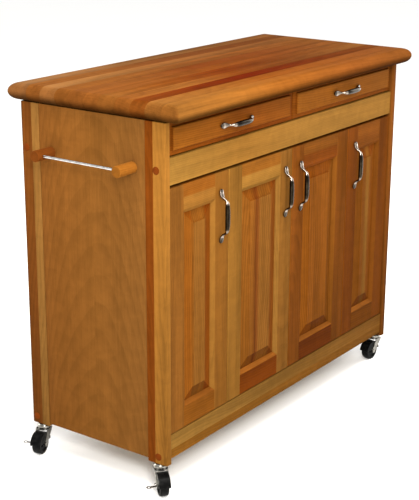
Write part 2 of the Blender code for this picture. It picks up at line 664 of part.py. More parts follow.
def build():
    clear_scene()
    woods = {
        "top": make_material("butcher_block", (0.50, 0.26, 0.10), 0.42),
        "post": make_material("post_wood", (0.56, 0.31, 0.11), 0.45),
        "rail": make_material("pale_wood", (0.62, 0.38, 0.14), 0.45),
        "panel": make_material("side_panel_wood", (0.52, 0.28, 0.10), 0.45),
        "door": make_material("door_wood", (0.50, 0.24, 0.08), 0.45),
        "door_panel": make_material("door_panel_wood", (0.52, 0.25, 0.08), 0.45),
        "drawer": make_material("drawer_wood", (0.46, 0.21, 0.06), 0.45),
        "dowel": make_material("dowel_wood", (0.58, 0.28, 0.08), 0.45),
        "inside": make_material("inside_wood", (0.62, 0.42, 0.22), 0.60),
    }
    nickel = make_material("nickel", (0.62, 0.58, 0.52), 0.25, 1.0)
    zinc = make_material("zinc", (0.60, 0.60, 0.58), 0.32, 1.0)
    steel = make_material("lever_steel", (0.55, 0.55, 0.54), 0.30, 1.0)
    hood_plastic = make_material("hood_plastic", (0.015, 0.015, 0.015), 0.40)
    tyre = make_material("wheel_rubber", (0.012, 0.012, 0.012), 0.55)

    island = make_empty("island", (-BOX_MIDDLE[0], -BOX_MIDDLE[1], 0))
    butcher_block(woods["top"], island)
    carcass(woods, island)
    towel_bar(woods, nickel, island)
    doors(woods, nickel, island)
    for side, sign in (("left", -1), ("right", 1)):
        drawer(side, sign, woods, nickel, island)
    for name, side_x, side_y, direction, brake in CASTERS:
        caster(name, side_x, side_y, direction, brake, zinc, steel, hood_plastic, tyre, island)


build()
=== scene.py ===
import math

import bmesh
import bpy
from mathutils import Matrix, Vector


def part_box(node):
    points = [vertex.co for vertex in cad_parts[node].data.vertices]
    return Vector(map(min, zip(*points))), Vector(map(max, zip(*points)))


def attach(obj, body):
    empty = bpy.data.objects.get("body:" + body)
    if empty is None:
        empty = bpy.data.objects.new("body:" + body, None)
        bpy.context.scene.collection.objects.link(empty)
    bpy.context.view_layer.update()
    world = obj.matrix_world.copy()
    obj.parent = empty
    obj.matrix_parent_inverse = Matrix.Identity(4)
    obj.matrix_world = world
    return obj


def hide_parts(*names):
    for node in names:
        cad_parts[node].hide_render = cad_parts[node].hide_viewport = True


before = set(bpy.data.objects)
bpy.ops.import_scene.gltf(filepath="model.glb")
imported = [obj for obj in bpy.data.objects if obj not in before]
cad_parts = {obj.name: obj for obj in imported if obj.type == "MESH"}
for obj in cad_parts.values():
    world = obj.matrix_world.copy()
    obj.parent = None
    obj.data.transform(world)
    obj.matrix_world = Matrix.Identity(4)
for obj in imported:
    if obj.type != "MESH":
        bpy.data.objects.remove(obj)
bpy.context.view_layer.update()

# The finished looks of the rolling kitchen island. Everything is in metres in the row frame, +Z up, with
# the front facing -Y. Positions come from the boxes of the CAD nodes.

AXES = {"x": 0, "y": 1, "z": 2}
WOOD_ROUGHNESS = 0.46
# Share of a stain's colour that the finished board gives back under the studio light
LACQUER = (0.326, 0.290, 0.212)


# -------- colour and node helpers


def srgb(red, green, blue):
    """A colour given as 0-255 display values, in linear light."""
    values = []
    for value in (red, green, blue):
        part = value / 255
        values.append(part / 12.92 if part <= 0.04045 else ((part + 0.055) / 1.055) ** 2.4)
    return tuple(values)


def seed_of(name):
    """A number that is always the same for the same name."""
    return sum(ord(letter) * (place + 3) for place, letter in enumerate(name)) % 89 + 0.37


def put(tree, kind, inputs=None, **settings):
    """Add a node, set its properties, and set or link its inputs."""
    node = tree.nodes.new(kind)
    for key, value in settings.items():
        setattr(node, key, value)
    for key, value in (inputs or {}).items():
        socket = node.inputs[key]
        if isinstance(value, bpy.types.NodeSocket):
            tree.links.new(value, socket)
        else:
            socket.default_value = value
    return node


def calc(tree, operation, *values):
    return put(tree, "ShaderNodeMath", dict(enumerate(values)), operation=operation).outputs[0]


def times(tree, first, *others):
    for other in others:
        first = calc(tree, "MULTIPLY", first, other)
    return first


def plus(tree, first, second):
    return calc(tree, "ADD", first, second)


def scaled(tree, value, factor, offset):
    return calc(tree, "MULTIPLY_ADD", value, factor, offset)


def ramp(tree, value, start, end, low=0.0, high=1.0):
    """A smooth step from low to high as the value goes from start to end."""
    inputs = {"Value": value, "From Min": start, "From Max": end, "To Min": low, "To Max": high}
    return put(tree, "ShaderNodeMapRange", inputs, interpolation_type="SMOOTHSTEP").outputs["Result"]


def cloud(tree, vector, stretch, detail=2.0, roughness=0.5, distortion=0.0, output="Fac"):
    """A noise texture on coordinates stretched by three factors."""
    stretched = put(tree, "ShaderNodeVectorMath", {0: vector, 1: stretch}, operation="MULTIPLY").outputs[0]
    return put(tree, "ShaderNodeTexNoise", {
        "Vector": stretched, "Scale": 1.0, "Detail": detail, "Roughness": roughness, "Distortion": distortion,
    }).outputs[output]


def mixed(tree, factor, first, second, mode="MIX"):
    """A blend of two colours."""
    node = put(tree, "ShaderNodeMix", data_type="RGBA", blend_type=mode)
    for socket, value in ((node.inputs[0], factor), (node.inputs[6], first), (node.inputs[7], second)):
        if isinstance(value, bpy.types.NodeSocket):
            tree.links.new(value, socket)
        elif isinstance(value, tuple):
            socket.default_value = (*value[:3], 1.0)
        else:
            socket.default_value = value
    return node.outputs[2]


def dimmed(tree, colour, share):
    """A colour times a number."""
    grey = put(tree, "ShaderNodeCombineXYZ", {axis: share for axis in range(3)}).outputs[0]
    return mixed(tree, 1.0, colour, grey, "MULTIPLY")


def attribute(tree, name, output="Fac"):
    return put(tree, "ShaderNodeAttribute", attribute_name=name).outputs[output]


def wood_grain_group():
    """The shared grain: rings round a heart line, fibres, pores, streaks and slow changes of colour."""
    tree = bpy.data.node_groups.new("WoodGrain", "ShaderNodeTree")
    sockets = [("Place", "Vector"), ("Seed", "Float"), ("Stain", "Color")]
    sockets += [(name, "Float") for name in ("Figure", "Spacing", "Taper", "Streaks", "Bend", "Variety")]
    for name, kind in sockets:
        tree.interface.new_socket(name, in_out="INPUT", socket_type=f"NodeSocket{kind}")
    for name, kind in (("Color", "Color"), ("Roughness", "Float"), ("Height", "Float")):
        tree.interface.new_socket(name, in_out="OUTPUT", socket_type=f"NodeSocket{kind}")
    given = put(tree, "NodeGroupInput").outputs
    result = put(tree, "NodeGroupOutput").inputs

    shifts = {axis: times(tree, given["Seed"], stride) for axis, stride in enumerate((3.71, 1.37, 2.19))}
    seed_shift = put(tree, "ShaderNodeCombineXYZ", shifts).outputs[0]
    place = put(tree, "ShaderNodeVectorMath", {0: given["Place"], 1: seed_shift}, operation="ADD").outputs[0]

    # Rings, bent by slow noise so that they close into arches on a flat face
    slow = cloud(tree, place, (2.1, 7.0, 7.0), output="Color")
    bend = put(tree, "ShaderNodeSeparateXYZ", {0: slow}).outputs
    parts = put(tree, "ShaderNodeSeparateXYZ", {0: given["Place"]}).outputs
    across = plus(tree, parts[1], times(tree, plus(tree, bend[0], -0.5), given["Bend"]))
    depth = plus(tree, parts[2], times(tree, plus(tree, bend[1], -0.5), given["Bend"]))
    squares = plus(tree, times(tree, across, across), times(tree, depth, depth))
    radius = plus(tree, calc(tree, "SQRT", squares), times(tree, parts[0], given["Taper"]))
    wobble = cloud(tree, place, (9.0, 60.0, 60.0), 3.0)
    wobble = times(tree, wobble, given["Bend"], 11.0)
    count = plus(tree, calc(tree, "DIVIDE", radius, given["Spacing"]), wobble)
    phase = calc(tree, "FRACT", count)
    late = times(tree, ramp(tree, phase, 0.30, 0.88), ramp(tree, phase, 0.93, 1.0, 1.0, 0.0))
    ring = put(tree, "ShaderNodeTexWhiteNoise", {"W": calc(tree, "FLOOR", count)}, noise_dimensions="1D")

    broad = cloud(tree, place, (1.3, 16.0, 16.0), 3.0, 0.55)
    bands = cloud(tree, place, (2.2, 75.0, 75.0), 4.0, 0.6, 0.3)
    fibres = cloud(tree, place, (14.0, 420.0, 420.0), 4.0, 0.65)
    curl = cloud(tree, place, (38.0, 26.0, 26.0), 3.0, 0.5, 0.8)
    pores = ramp(tree, cloud(tree, place, (75.0, 1150.0, 1150.0)), 0.60, 0.74)
    streak = ramp(tree, cloud(tree, place, (0.9, 34.0, 34.0), 3.0, 0.6, 0.5), 0.58, 0.74)
    streak = times(tree, streak, given["Streaks"])

    # Tone 0 is the light wood between the rings and 1 the dark late wood
    figure = times(tree, late, given["Figure"])
    drift = scaled(tree, broad, 2.3, -1.15)
    drift = scaled(tree, bands, 0.85, plus(tree, drift, -0.425))
    tone = plus(tree, scaled(tree, drift, given["Variety"], 0.35), figure)
    ring_tone = scaled(tree, ring.outputs["Value"], 0.30, -0.15)
    tone = plus(tree, tone, times(tree, ring_tone, given["Figure"]))
    tone = scaled(tree, fibres, 0.96, plus(tree, tone, -0.48))
    tone = plus(tree, tone, streak)
    tone = put(tree, "ShaderNodeClamp", {"Value": tone, "Min": 0.0, "Max": 1.6}).outputs[0]
    shade = mixed(tree, tone, tuple(1.24 * part for part in LACQUER), tuple(0.74 * part for part in LACQUER))
    shade = mixed(tree, times(tree, streak, 0.6), shade, (0.26, 0.19, 0.10))
    colour = mixed(tree, 1.0, given["Stain"], shade, "MULTIPLY")
    colour = mixed(tree, times(tree, pores, 0.24), colour, (0.10, 0.035, 0.008))
    colour = dimmed(tree, colour, ramp(tree, curl, 0.30, 0.72, 0.94, 1.06))

    rough = scaled(tree, pores, 0.10, scaled(tree, bands, 0.16, WOOD_ROUGHNESS - 0.08))
    height = scaled(tree, fibres, 0.55, times(tree, figure, -0.35))
    height = scaled(tree, pores, -0.60, height)
    for name, value in (("Color", colour), ("Roughness", rough), ("Height", height)):
        tree.links.new(value, result[name])
    return tree


def new_material(name):
    """A material, its tree, its shader and the object's own coordinates."""
    material = bpy.data.materials.new(name)
    material.use_nodes = True
    tree = material.node_tree
    point = put(tree, "ShaderNodeTexCoord").outputs["Object"]
    return material, tree, tree.nodes["Principled BSDF"], point


def connect(tree, shader, colour, rough, height, strength, distance):
    """Give a shader its colour, its roughness and a bump."""
    bump = put(tree, "ShaderNodeBump", {"Height": height, "Strength": strength, "Distance": distance})
    for name, value in (("Base Color", colour), ("Roughness", rough), ("Normal", bump.outputs[0])):
        tree.links.new(value, shader.inputs[name])


def wood(name, order, figure=0.30, spacing=0.0042, taper=0.035, streaks=0.30, bend=0.035, variety=1.15,
         sheen=0.004, eave=1.0):
    """A lacquered wood with painted shade: a little darker towards the floor and, if asked, under the
    overhang of the top.

    The order names the axes along the grain, across the face and into the board.
    """
    material, tree, shader, point = new_material(name)
    heart = attribute(tree, "heart", "Vector")
    away = put(tree, "ShaderNodeVectorMath", {0: point, 1: heart}, operation="SUBTRACT").outputs[0]
    parts = put(tree, "ShaderNodeSeparateXYZ", {0: away}).outputs
    turned_parts = {place: parts[AXES[axis]] for place, axis in enumerate(order)}
    grain = put(tree, "ShaderNodeGroup", node_tree=GRAIN)
    for key, value in (("Place", put(tree, "ShaderNodeCombineXYZ", turned_parts).outputs[0]),
                       ("Seed", attribute(tree, "seed")), ("Stain", attribute(tree, "stain", "Color"))):
        tree.links.new(value, grain.inputs[key])
    for key, value in (("Figure", figure), ("Spacing", spacing), ("Taper", taper), ("Streaks", streaks),
                       ("Bend", bend), ("Variety", variety)):
        grain.inputs[key].default_value = value
    height = put(tree, "ShaderNodeSeparateXYZ", {0: point}).outputs[2]
    # Painted shade: darker towards the floor and under the overhang of the top
    painted_shade = ramp(tree, height, 0.0, 0.82, 0.76, 1.0)
    painted_shade = times(tree, painted_shade, ramp(tree, height, *EAVE_SHADOW, 1.0, eave))
    colour = dimmed(tree, grain.outputs["Color"], painted_shade)
    shader.inputs["Specular IOR Level"].default_value = sheen
    connect(tree, shader, colour, grain.outputs["Roughness"], grain.outputs["Height"], 0.22, 0.0004)
    return material


def metal(name, light, dark, roughness, scratches=(960.0, 960.0, 960.0), highlight_colour=None):
    """A metal with soft tarnish, fine scratches and uneven polish, brightened by a painted highlight where
    its mesh attribute says.
    """
    material, tree, shader, point = new_material(name)
    tarnish = cloud(tree, point, (95.0, 95.0, 95.0), 4.0, 0.6)
    scratch = cloud(tree, point, scratches, 4.0, 0.7)
    colour = mixed(tree, ramp(tree, tarnish, 0.35, 0.68), light, dark)
    if highlight_colour:
        painted_highlight = times(tree, attribute(tree, "painted_highlight"), ramp(tree, tarnish, 0.70, 0.30, 0.6, 1.0))
        colour = mixed(tree, painted_highlight, colour, highlight_colour)
    rough = scaled(tree, tarnish, 0.16, roughness - 0.08)
    rough = scaled(tree, scratch, 0.10, plus(tree, rough, -0.05))
    shader.inputs["Metallic"].default_value = 1.0
    connect(tree, shader, colour, rough, scratch, 0.10, 0.0002)
    return material


def plastic(name, light, dark, roughness):
    """A moulded black plastic or rubber with a fine pebbled skin and some dust."""
    material, tree, shader, point = new_material(name)
    dust = cloud(tree, point, (130.0, 130.0, 130.0), 4.0, 0.6)
    pebbles = cloud(tree, point, (2600.0, 2600.0, 2600.0))
    colour = mixed(tree, ramp(tree, dust, 0.42, 0.72), dark, light)
    shader.inputs["Specular IOR Level"].default_value = 0.035
    connect(tree, shader, colour, scaled(tree, dust, 0.22, roughness - 0.11), pebbles, 0.18, 0.0002)
    return material


EAVE_SHADOW = (0.765, 0.838)  # heights between which the shade of the overhanging top sets in
GRAIN = wood_grain_group()
TOP_WOOD = wood("butcher_block", "xyz", figure=0.16, spacing=0.0046, taper=0.030, streaks=0.34, variety=1.6,
                sheen=0.0006)
POST_WOOD = wood("post_wood", "zyx", figure=0.28, eave=0.86)
PANEL_WOOD = wood("panel_wood", "zyx", figure=0.20, spacing=0.0044, taper=0.062, streaks=0.0, bend=0.009,
                  variety=0.55, eave=0.88)
BACK_WOOD = wood("back_veneer", "zxy", figure=0.42, spacing=0.0065, taper=0.040, streaks=0.1)
RAIL_WOOD = wood("rail_wood", "xzy", figure=0.22, streaks=0.12)
DOOR_UPRIGHT = wood("door_wood", "zxy", figure=0.30, streaks=0.30, variety=1.45)
DOOR_LEVEL = wood("door_rail_wood", "xzy", figure=0.32, streaks=0.34)
DOOR_PANEL = wood("door_panel_wood", "zxy", figure=0.46, spacing=0.0050, taper=0.040, streaks=0.22)
DRAWER_WOOD = wood("drawer_wood", "xzy", figure=0.36, spacing=0.0052, streaks=0.25)
DOWEL_WOOD = wood("dowel_wood", "xyz", figure=0.20, spacing=0.0030, streaks=0.1)
# The woods of the inside boards, by grain order
INSIDE_WOODS = {"xzy": RAIL_WOOD}
for wood_name, wood_order in (("inside_wood", "xyz"), ("inside_deep_wood", "yxz"),
                              ("inside_upright_wood", "zyx"), ("inside_side_wood", "yzx")):
    INSIDE_WOODS[wood_order] = wood(wood_name, wood_order, figure=0.26, streaks=0.05)
# The nickel's dark base is a painted reflection of dark surroundings, and its brighter colour is a painted
# highlight
NICKEL = metal("nickel", (0.030, 0.023, 0.014), (0.011, 0.008, 0.005), 0.15, highlight_colour=(0.56, 0.47, 0.39))
ROD_STEEL = metal("rod_steel", (0.60, 0.59, 0.57), (0.40, 0.39, 0.37), 0.18, (240.0, 1200.0, 1200.0))
ZINC = metal("zinc", (0.26, 0.25, 0.225), (0.12, 0.115, 0.10), 0.24)
LEVER_STEEL = metal("lever_steel", (0.42, 0.41, 0.40), (0.24, 0.23, 0.22), 0.24)
HOOD_PLASTIC = plastic("hood_plastic", (0.0075, 0.0072, 0.0068), (0.0022, 0.0022, 0.0022), 0.30)
WHEEL_RUBBER = plastic("wheel_rubber", (0.0090, 0.0086, 0.0082), (0.0026, 0.0026, 0.0026), 0.42)


# -------- mesh helpers


def finished(model, smooth_below=35):
    """Turn a bmesh into a mesh with outward faces, smooth where it is gently curved."""
    bmesh.ops.recalc_face_normals(model, faces=model.faces)
    mesh = bpy.data.meshes.new("mesh")
    model.to_mesh(mesh)
    model.free()
    mesh.shade_smooth()
    mesh.set_sharp_from_angle(angle=math.radians(smooth_below))
    return mesh


def loft(rings, capped=True, model=None):
    """A skin over matching rings of points, capped at its ends or joined into a loop, in a bmesh."""
    model = model or bmesh.new()
    loops = [[model.verts.new(point) for point in ring] for ring in rings]
    pairs = list(zip(loops, loops[1:]))
    if capped:
        model.faces.new(loops[0])
        model.faces.new(loops[-1])
    else:
        pairs.append((loops[-1], loops[0]))
    for first, second in pairs:
        for i in range(len(first)):
            j = (i + 1) % len(first)
            model.faces.new([first[i], first[j], second[j], second[i]])
    return model


def block(low, high, radius=0.0, segments=3):
    """A bmesh box between two corners with rounded edges."""
    model = bmesh.new()
    bmesh.ops.create_cube(model, size=1.0)
    low = Vector(low)
    high = Vector(high)
    for vert in model.verts:
        vert.co = Vector((low + high) / 2 + Vector([vert.co[i] * (high[i] - low[i]) for i in range(3)]))
    if radius:
        bmesh.ops.bevel(model, geom=list(model.edges), offset=radius, segments=segments, profile=0.5,
                        affect="EDGES", clamp_overlap=True)
    return model


def cut(model, axis, places):
    """Split the faces of a bmesh along planes across an axis."""
    normal = Vector([float(i == AXES[axis]) for i in range(3)])
    for place in places:
        geometry = list(model.verts) + list(model.edges) + list(model.faces)
        bmesh.ops.bisect_plane(model, geom=geometry, plane_co=normal * place, plane_no=normal, dist=1e-6)
    return model


def cut_board(low, high, radius, **cuts):
    """The mesh of a board, split where its leaves or colours change."""
    model = block(low, high, radius)
    for axis, places in cuts.items():
        cut(model, axis, places)
    return finished(model)


def turned(profile, centre, axis="z", sides=48, joined=False):
    """A bmesh of revolution from (radius, distance along the axis) points."""
    quarter = math.pi / 2
    turn = {"z": Matrix(), "x": Matrix.Rotation(quarter, 4, "Y"), "y": Matrix.Rotation(-quarter, 4, "X")}
    rings = []
    for radius, along in profile:
        angles = [2 * math.pi * i / sides for i in range(sides)]
        ring = [Vector((radius * math.cos(a), radius * math.sin(a), along)) for a in angles]
        rings.append([Vector(centre) + turn[axis] @ point for point in ring])
    return loft(rings, capped=not joined)


def softened(node, radius, segments=2):
    """The mesh of a CAD node with its triangles merged and its hard edges rounded."""
    model = bmesh.new()
    model.from_mesh(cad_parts[node].data)
    bmesh.ops.remove_doubles(model, verts=model.verts, dist=1e-6)
    bmesh.ops.dissolve_limit(model, angle_limit=math.radians(2), verts=model.verts, edges=model.edges)
    hard = math.radians(30)
    edges = [e for e in model.edges if len(e.link_faces) == 2 and e.calc_face_angle() > hard]
    bmesh.ops.bevel(model, geom=edges, offset=radius, segments=segments, profile=0.5, affect="EDGES",
                    clamp_overlap=True)
    return finished(model, 40)


def rectangle(sides, y):
    """The corners of an upright rectangle, from its left, right, bottom and top, at a depth."""
    left, right, low, high = sides
    return [Vector((x, y, z)) for x, z in ((left, low), (right, low), (right, high), (left, high))]


def inset(sides, distance):
    left, right, low, high = sides
    return (left + distance, right - distance, low + distance, high - distance)


def blended(stops, place):
    """The colour at a place among (place, colour) stops."""
    if place <= stops[0][0]:
        return stops[0][1]
    for (start, first), (end, second) in zip(stops, stops[1:]):
        if place <= end:
            share = (place - start) / (end - start)
            return tuple(a + (b - a) * share for a, b in zip(first, second))
    return stops[-1][1]


def describe(mesh, boards, grain, split=None, along=None, end_shade=0.72, shade=None):
    """Write on each face the board it belongs to.

    Each board is (upper limit on the split axis, colour or colour stops along another axis, seed, heart).
    The shade, if given, is a function that returns a face's factors for red, green and blue; these paint
    light and shade into the stain.
    """
    heart_layer = mesh.attributes.new("heart", "FLOAT_VECTOR", "FACE")
    seed_layer = mesh.attributes.new("seed", "FLOAT", "FACE")
    stain_layer = mesh.attributes.new("stain", "FLOAT_COLOR", "CORNER")
    grain_axis = AXES[grain]
    for face in mesh.polygons:
        board = boards[-1]
        if split:
            place = face.center[AXES[split]]
            board = next((b for b in boards if place <= b[0]), board)
        _, colour, seed, heart = board
        heart_layer.data[face.index].vector = heart
        seed_layer.data[face.index].value = seed
        factors = [end_shade if abs(face.normal[grain_axis]) > 0.75 else 1.0] * 3
        if shade:
            factors = shade(face)
        for loop in face.loop_indices:
            stain = colour
            if along:
                point = mesh.vertices[mesh.loops[loop].vertex_index].co
                stain = blended(colour, point[AXES[along]])
            stain_layer.data[loop].color = (*[part * factor for part, factor in zip(stain, factors)], 1.0)


def add_piece(name, mesh, material, body, nodes=(), slot_name=None):
    """A finished piece that rides on a body and replaces CAD nodes.
    """
    mesh.name = name
    mesh.materials.append(material)
    piece = bpy.data.objects.new(name, mesh)
    bpy.context.scene.collection.objects.link(piece)
    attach(piece, body)
    if nodes:
        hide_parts(*nodes)
    slot_name = slot_name or material.name.partition(".")[0]
    weight = piece.modifiers.new("shading", "WEIGHTED_NORMAL")
    weight.keep_sharp = True


def heart_near(low, high, order, depth, aside=0.0, along=0.0):
    """A heart line at a depth behind a board's low face, moved aside and along from its middle."""
    centre = (Vector(low) + Vector(high)) / 2
    centre[AXES[order[0]]] += along
    centre[AXES[order[1]]] += aside
    inwards = AXES[order[2]]
    centre[inwards] = low[inwards] + depth
    return centre


def add_board(name, low, high, order, colour, body, node, radius):
    """One plain inside board with eased edges and one run of grain."""
    mesh = finished(block(low, high, radius))
    seed = seed_of(name)
    heart = heart_near(low, high, order, 0.07, 0.004 * math.sin(seed))
    describe(mesh, [(0, colour, seed, heart)], order[0])
    add_piece(name, mesh, INSIDE_WOODS[order], body, [node], "inside_wood")


# -------- butcher block top

TOP_LOW, TOP_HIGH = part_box("butcher_block_top")
CORNER_RADIUS = 0.006
CORNER_STEPS = 10
EDGE_RUN = 0.021  # how far in the rounded edge reaches
EDGE_STEPS = 18
END_GRAIN = srgb(172, 104, 44)
JOINT_LINE = 0.0005
JOINT_SHADE = 0.80
TOP_LIFT = (1.05, 1.10, 1.32)  # how much brighter the top's finish is in red, green and blue
END_DARKER = 0.20
END_EVENNESS = 0.55
UNDER_PAINTED_SHADE = 0.72
UNDER_START = 0.25  # upward slope of the edge at which its painted shade starts
UNDER_RANGE = 1.05
STAVE_STOPS = (0.0, 0.2, 0.4, 0.7, 1.0)  # where a stave's colours lie, by share of its length
# Each stave: how far its rear edge is from the front of the top, and its display colours from the left
STAVES = [
    (0.042, (196, 132, 62), (196, 128, 56), (190, 116, 46), (180, 106, 46), (168, 102, 46)),
    (0.084, (198, 134, 66), (198, 126, 54), (186, 106, 36), (170, 98, 40), (158, 94, 46)),
    (0.123, (158, 82, 26), (144, 58, 10), (138, 44, 3), (140, 64, 18), (154, 88, 36)),
    (0.165, (178, 108, 48), (192, 122, 56), (168, 88, 26), (166, 98, 44), (188, 124, 62)),
    (0.210, (173, 112, 52), (168, 94, 32), (156, 72, 18), (158, 90, 38), (168, 106, 50)),
    (0.251, (182, 112, 52), (184, 110, 48), (178, 98, 36), (166, 92, 38), (176, 110, 54)),
    (0.291, (182, 112, 54), (174, 106, 48), (148, 76, 28), (150, 82, 34), (158, 100, 48)),
    (0.331, (204, 128, 60), (202, 126, 58), (184, 112, 52), (170, 102, 46), (172, 108, 52)),
    (0.374, (198, 140, 84), (200, 138, 78), (190, 124, 66), (176, 112, 58), (170, 110, 58)),
    (0.414, (172, 108, 52), (168, 106, 52), (158, 94, 46), (150, 86, 40), (152, 92, 44)),
    (0.480, (178, 130, 86), (176, 124, 78), (168, 116, 68), (160, 106, 58), (160, 104, 56)),
]


def rounded_outline(half_x, half_y, radii, centre, z, steps):
    """A level rectangle with a radius for each corner, from the rear right one anticlockwise."""
    points = []
    for quadrant, (sign_x, sign_y) in enumerate(((1, 1), (-1, 1), (-1, -1), (1, -1))):
        radius = radii[quadrant]
        for step in range(steps + 1):
            angle = math.pi / 2 * (quadrant + step / steps)
            x = sign_x * (half_x - radius) + radius * math.cos(angle)
            y = sign_y * (half_y - radius) + radius * math.sin(angle)
            points.append(Vector((centre.x + x, centre.y + y, z)))
    return points


def even_end_grain(mesh):
    """Darken and even out the end grain, which drinks stain, and paint shade on the edge towards its
    underside.
    """
    layer = mesh.attributes["stain"]
    for face in mesh.polygons:
        share = min(1.0, abs(face.normal.x) * 1.3)
        # Painted shade on the rounded edge, growing towards its underside
        under = min(1.0, max(0.0, (UNDER_START - face.normal.z) / UNDER_RANGE))
        shade = (1.0 - END_DARKER * share) * (1.0 - UNDER_PAINTED_SHADE * under * under * (3 - 2 * under))
        for loop in face.loop_indices:
            own = layer.data[loop].color
            even = [part + (mean - part) * END_EVENNESS * share for part, mean in zip(own, END_GRAIN)]
            layer.data[loop].color = (*[part * lift * shade for part, lift in zip(even, TOP_LIFT)], 1.0)


def butcher_block():
    """A slab of glued staves with rounded edges and softly rounded corners."""
    half = (TOP_HIGH - TOP_LOW) / 2
    centre = (TOP_HIGH + TOP_LOW) / 2
    rings = []
    for step in range(EDGE_STEPS + 1):
        angle = math.pi * (step / EDGE_STEPS - 0.5)
        shrink = EDGE_RUN * (1 - math.cos(angle))
        z = centre.z + half.z * math.sin(angle)
        corners = [CORNER_RADIUS] * 4
        rings.append(rounded_outline(half.x - shrink, half.y - shrink, corners, centre, z, CORNER_STEPS))
    model = loft(rings)
    lines = [TOP_LOW.y + stave[0] for stave in STAVES]
    cut(model, "y", [line + shift for line in lines[:-1] for shift in (-JOINT_LINE, JOINT_LINE)])
    stops_x = [TOP_LOW.x + (TOP_HIGH.x - TOP_LOW.x) * share for share in STAVE_STOPS]
    cut(model, "x", stops_x[1:-1])
    mesh = finished(model, 60)
    boards = []
    lower = TOP_LOW.y
    for number, (upper, (_, *shades)) in enumerate(zip(lines, STAVES)):
        colours = [srgb(*shade) for shade in shades]
        seed = 11.3 * number + 2.9
        middle = (lower + upper) / 2 + 0.045 * math.sin(2.3 * number + 0.4)
        heart = Vector((centre.x, middle, centre.z - 0.03 - 0.02 * math.cos(1.7 * number)))
        dark = [tuple(part * JOINT_SHADE for part in colour) for colour in colours]
        boards.append((upper - JOINT_LINE, list(zip(stops_x, colours)), seed, heart))
        boards.append((upper + JOINT_LINE, list(zip(stops_x, dark)), seed, heart))
        lower = upper
    describe(mesh, boards[:-1], "x", split="y", along="x", end_shade=1.0)
    even_end_grain(mesh)
    add_piece("butcher_block_top_staves", mesh, TOP_WOOD, "cabinet", ["butcher_block_top"])


# -------- carcass

POST_DARK = 0.021  # width of the dark strip along a post's inner edge
POST_NOSE = 0.0052
POST_INNER = 0.0012
POST_EASE = 0.0008
POSTS = {
    # Colours of the strip next to the side panel and of the rest of the post
    "post_front_left": (srgb(166, 90, 30), srgb(204, 144, 70)),
    "post_rear_left": (srgb(188, 138, 78), srgb(158, 96, 44)),
    "post_front_right": (srgb(156, 88, 38), srgb(162, 100, 46)),
    "post_rear_right": (srgb(180, 120, 60), srgb(168, 104, 50)),
}


def post(name):
    """A corner board on edge with a rounded outer nose, glued up from two strips."""
    low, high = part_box(name)
    rear = (low.y + high.y) > 0
    half_x = (high.x - low.x) / 2
    half_y = (high.y - low.y) / 2
    centre = (low + high) / 2
    radii = [POST_NOSE] * 2 + [POST_INNER] * 2 if rear else [POST_INNER] * 2 + [POST_NOSE] * 2
    rings = []
    for z, shrink in ((low.z, POST_EASE), (low.z + POST_EASE, 0.0),
                      (high.z - POST_EASE, 0.0), (high.z, POST_EASE)):
        rings.append(rounded_outline(half_x - shrink, half_y - shrink, radii, centre, z, 8))
    model = loft(rings)
    line = low.y + POST_DARK if rear else high.y - POST_DARK
    cut(model, "y", [line])
    mesh = finished(model)
    strip, rest = POSTS[name]
    seed = seed_of(name)
    heart = Vector((centre.x + 0.05, centre.y + 0.02, centre.z))
    first, second = (strip, rest) if rear else (rest, strip)
    boards = [(line, first, seed, heart), (high.y, second, seed + 7, heart)]
    describe(mesh, boards, "z", split="y")
    add_piece(name + "_board", mesh, POST_WOOD, "cabinet", [name])


BUTTON_SETBACKS = {"front": 0.024, "rear": 0.015}  # from the post's outer edge
BUTTON_HEIGHTS = {"upper": 0.736, "lower": 0.086}
BUTTON_PROFILE = [(0.0085, -0.0030), (0.0085, 0.0002), (0.0082, 0.0007), (0.0070, 0.0013), (0.0050, 0.0017),
                  (0.0025, 0.00195), (0.0003, 0.0020)]


def button_plugs():
    """Domed wooden buttons that cover the screws through the posts."""
    for side, sign in (("left", -1), ("right", 1)):
        for end, setback in BUTTON_SETBACKS.items():
            low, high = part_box(f"post_{end}_{side}")
            x = low.x if sign < 0 else high.x
            y = low.y + setback if end == "front" else high.y - setback
            for level, z in BUTTON_HEIGHTS.items():
                profile = [(radius, sign * along) for radius, along in BUTTON_PROFILE]
                mesh = finished(turned(profile, (x, y, z), "x", 32), 50)
                name = f"button_{end}_{side}_{level}"
                heart = Vector((x, y, z - 0.02))
                describe(mesh, [(0, srgb(164, 84, 34), seed_of(name), heart)], "x", end_shade=1.0)
                add_piece(name, mesh, DOWEL_WOOD, "cabinet")


def side_panels():
    """Wide panels of two leaves with cathedral arches that peak at different heights."""
    for side, inward, seed, colours in (
        ("left", 1, 4.1, (srgb(176, 122, 66), srgb(174, 118, 60), srgb(176, 116, 58))),
        ("right", -1, 23.5, (srgb(168, 112, 58), srgb(166, 110, 56), srgb(162, 106, 52))),
    ):
        name = f"side_panel_{side}"
        low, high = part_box(name)
        middle_y = (low.y + high.y) / 2
        mesh = cut_board(low, high, 0.0009, y=[middle_y])
        face = low.x if side == "left" else high.x
        stops = list(zip((low.y, middle_y, high.y), colours))
        front_heart = Vector((face + inward * 0.034, middle_y - 0.050, 0.30))
        rear_heart = Vector((face + inward * 0.024, middle_y + 0.088, 0.52))
        boards = [(middle_y, stops, seed, front_heart), (high.y, stops, seed + 9.0, rear_heart)]
        describe(mesh, boards, "z", split="y", along="y")
        add_piece(name + "_board", mesh, PANEL_WOOD, "cabinet", [name])


RAIL_EASE = 0.0012
RAIL_SEAM = 0.101  # height of the glue line in the lower rail


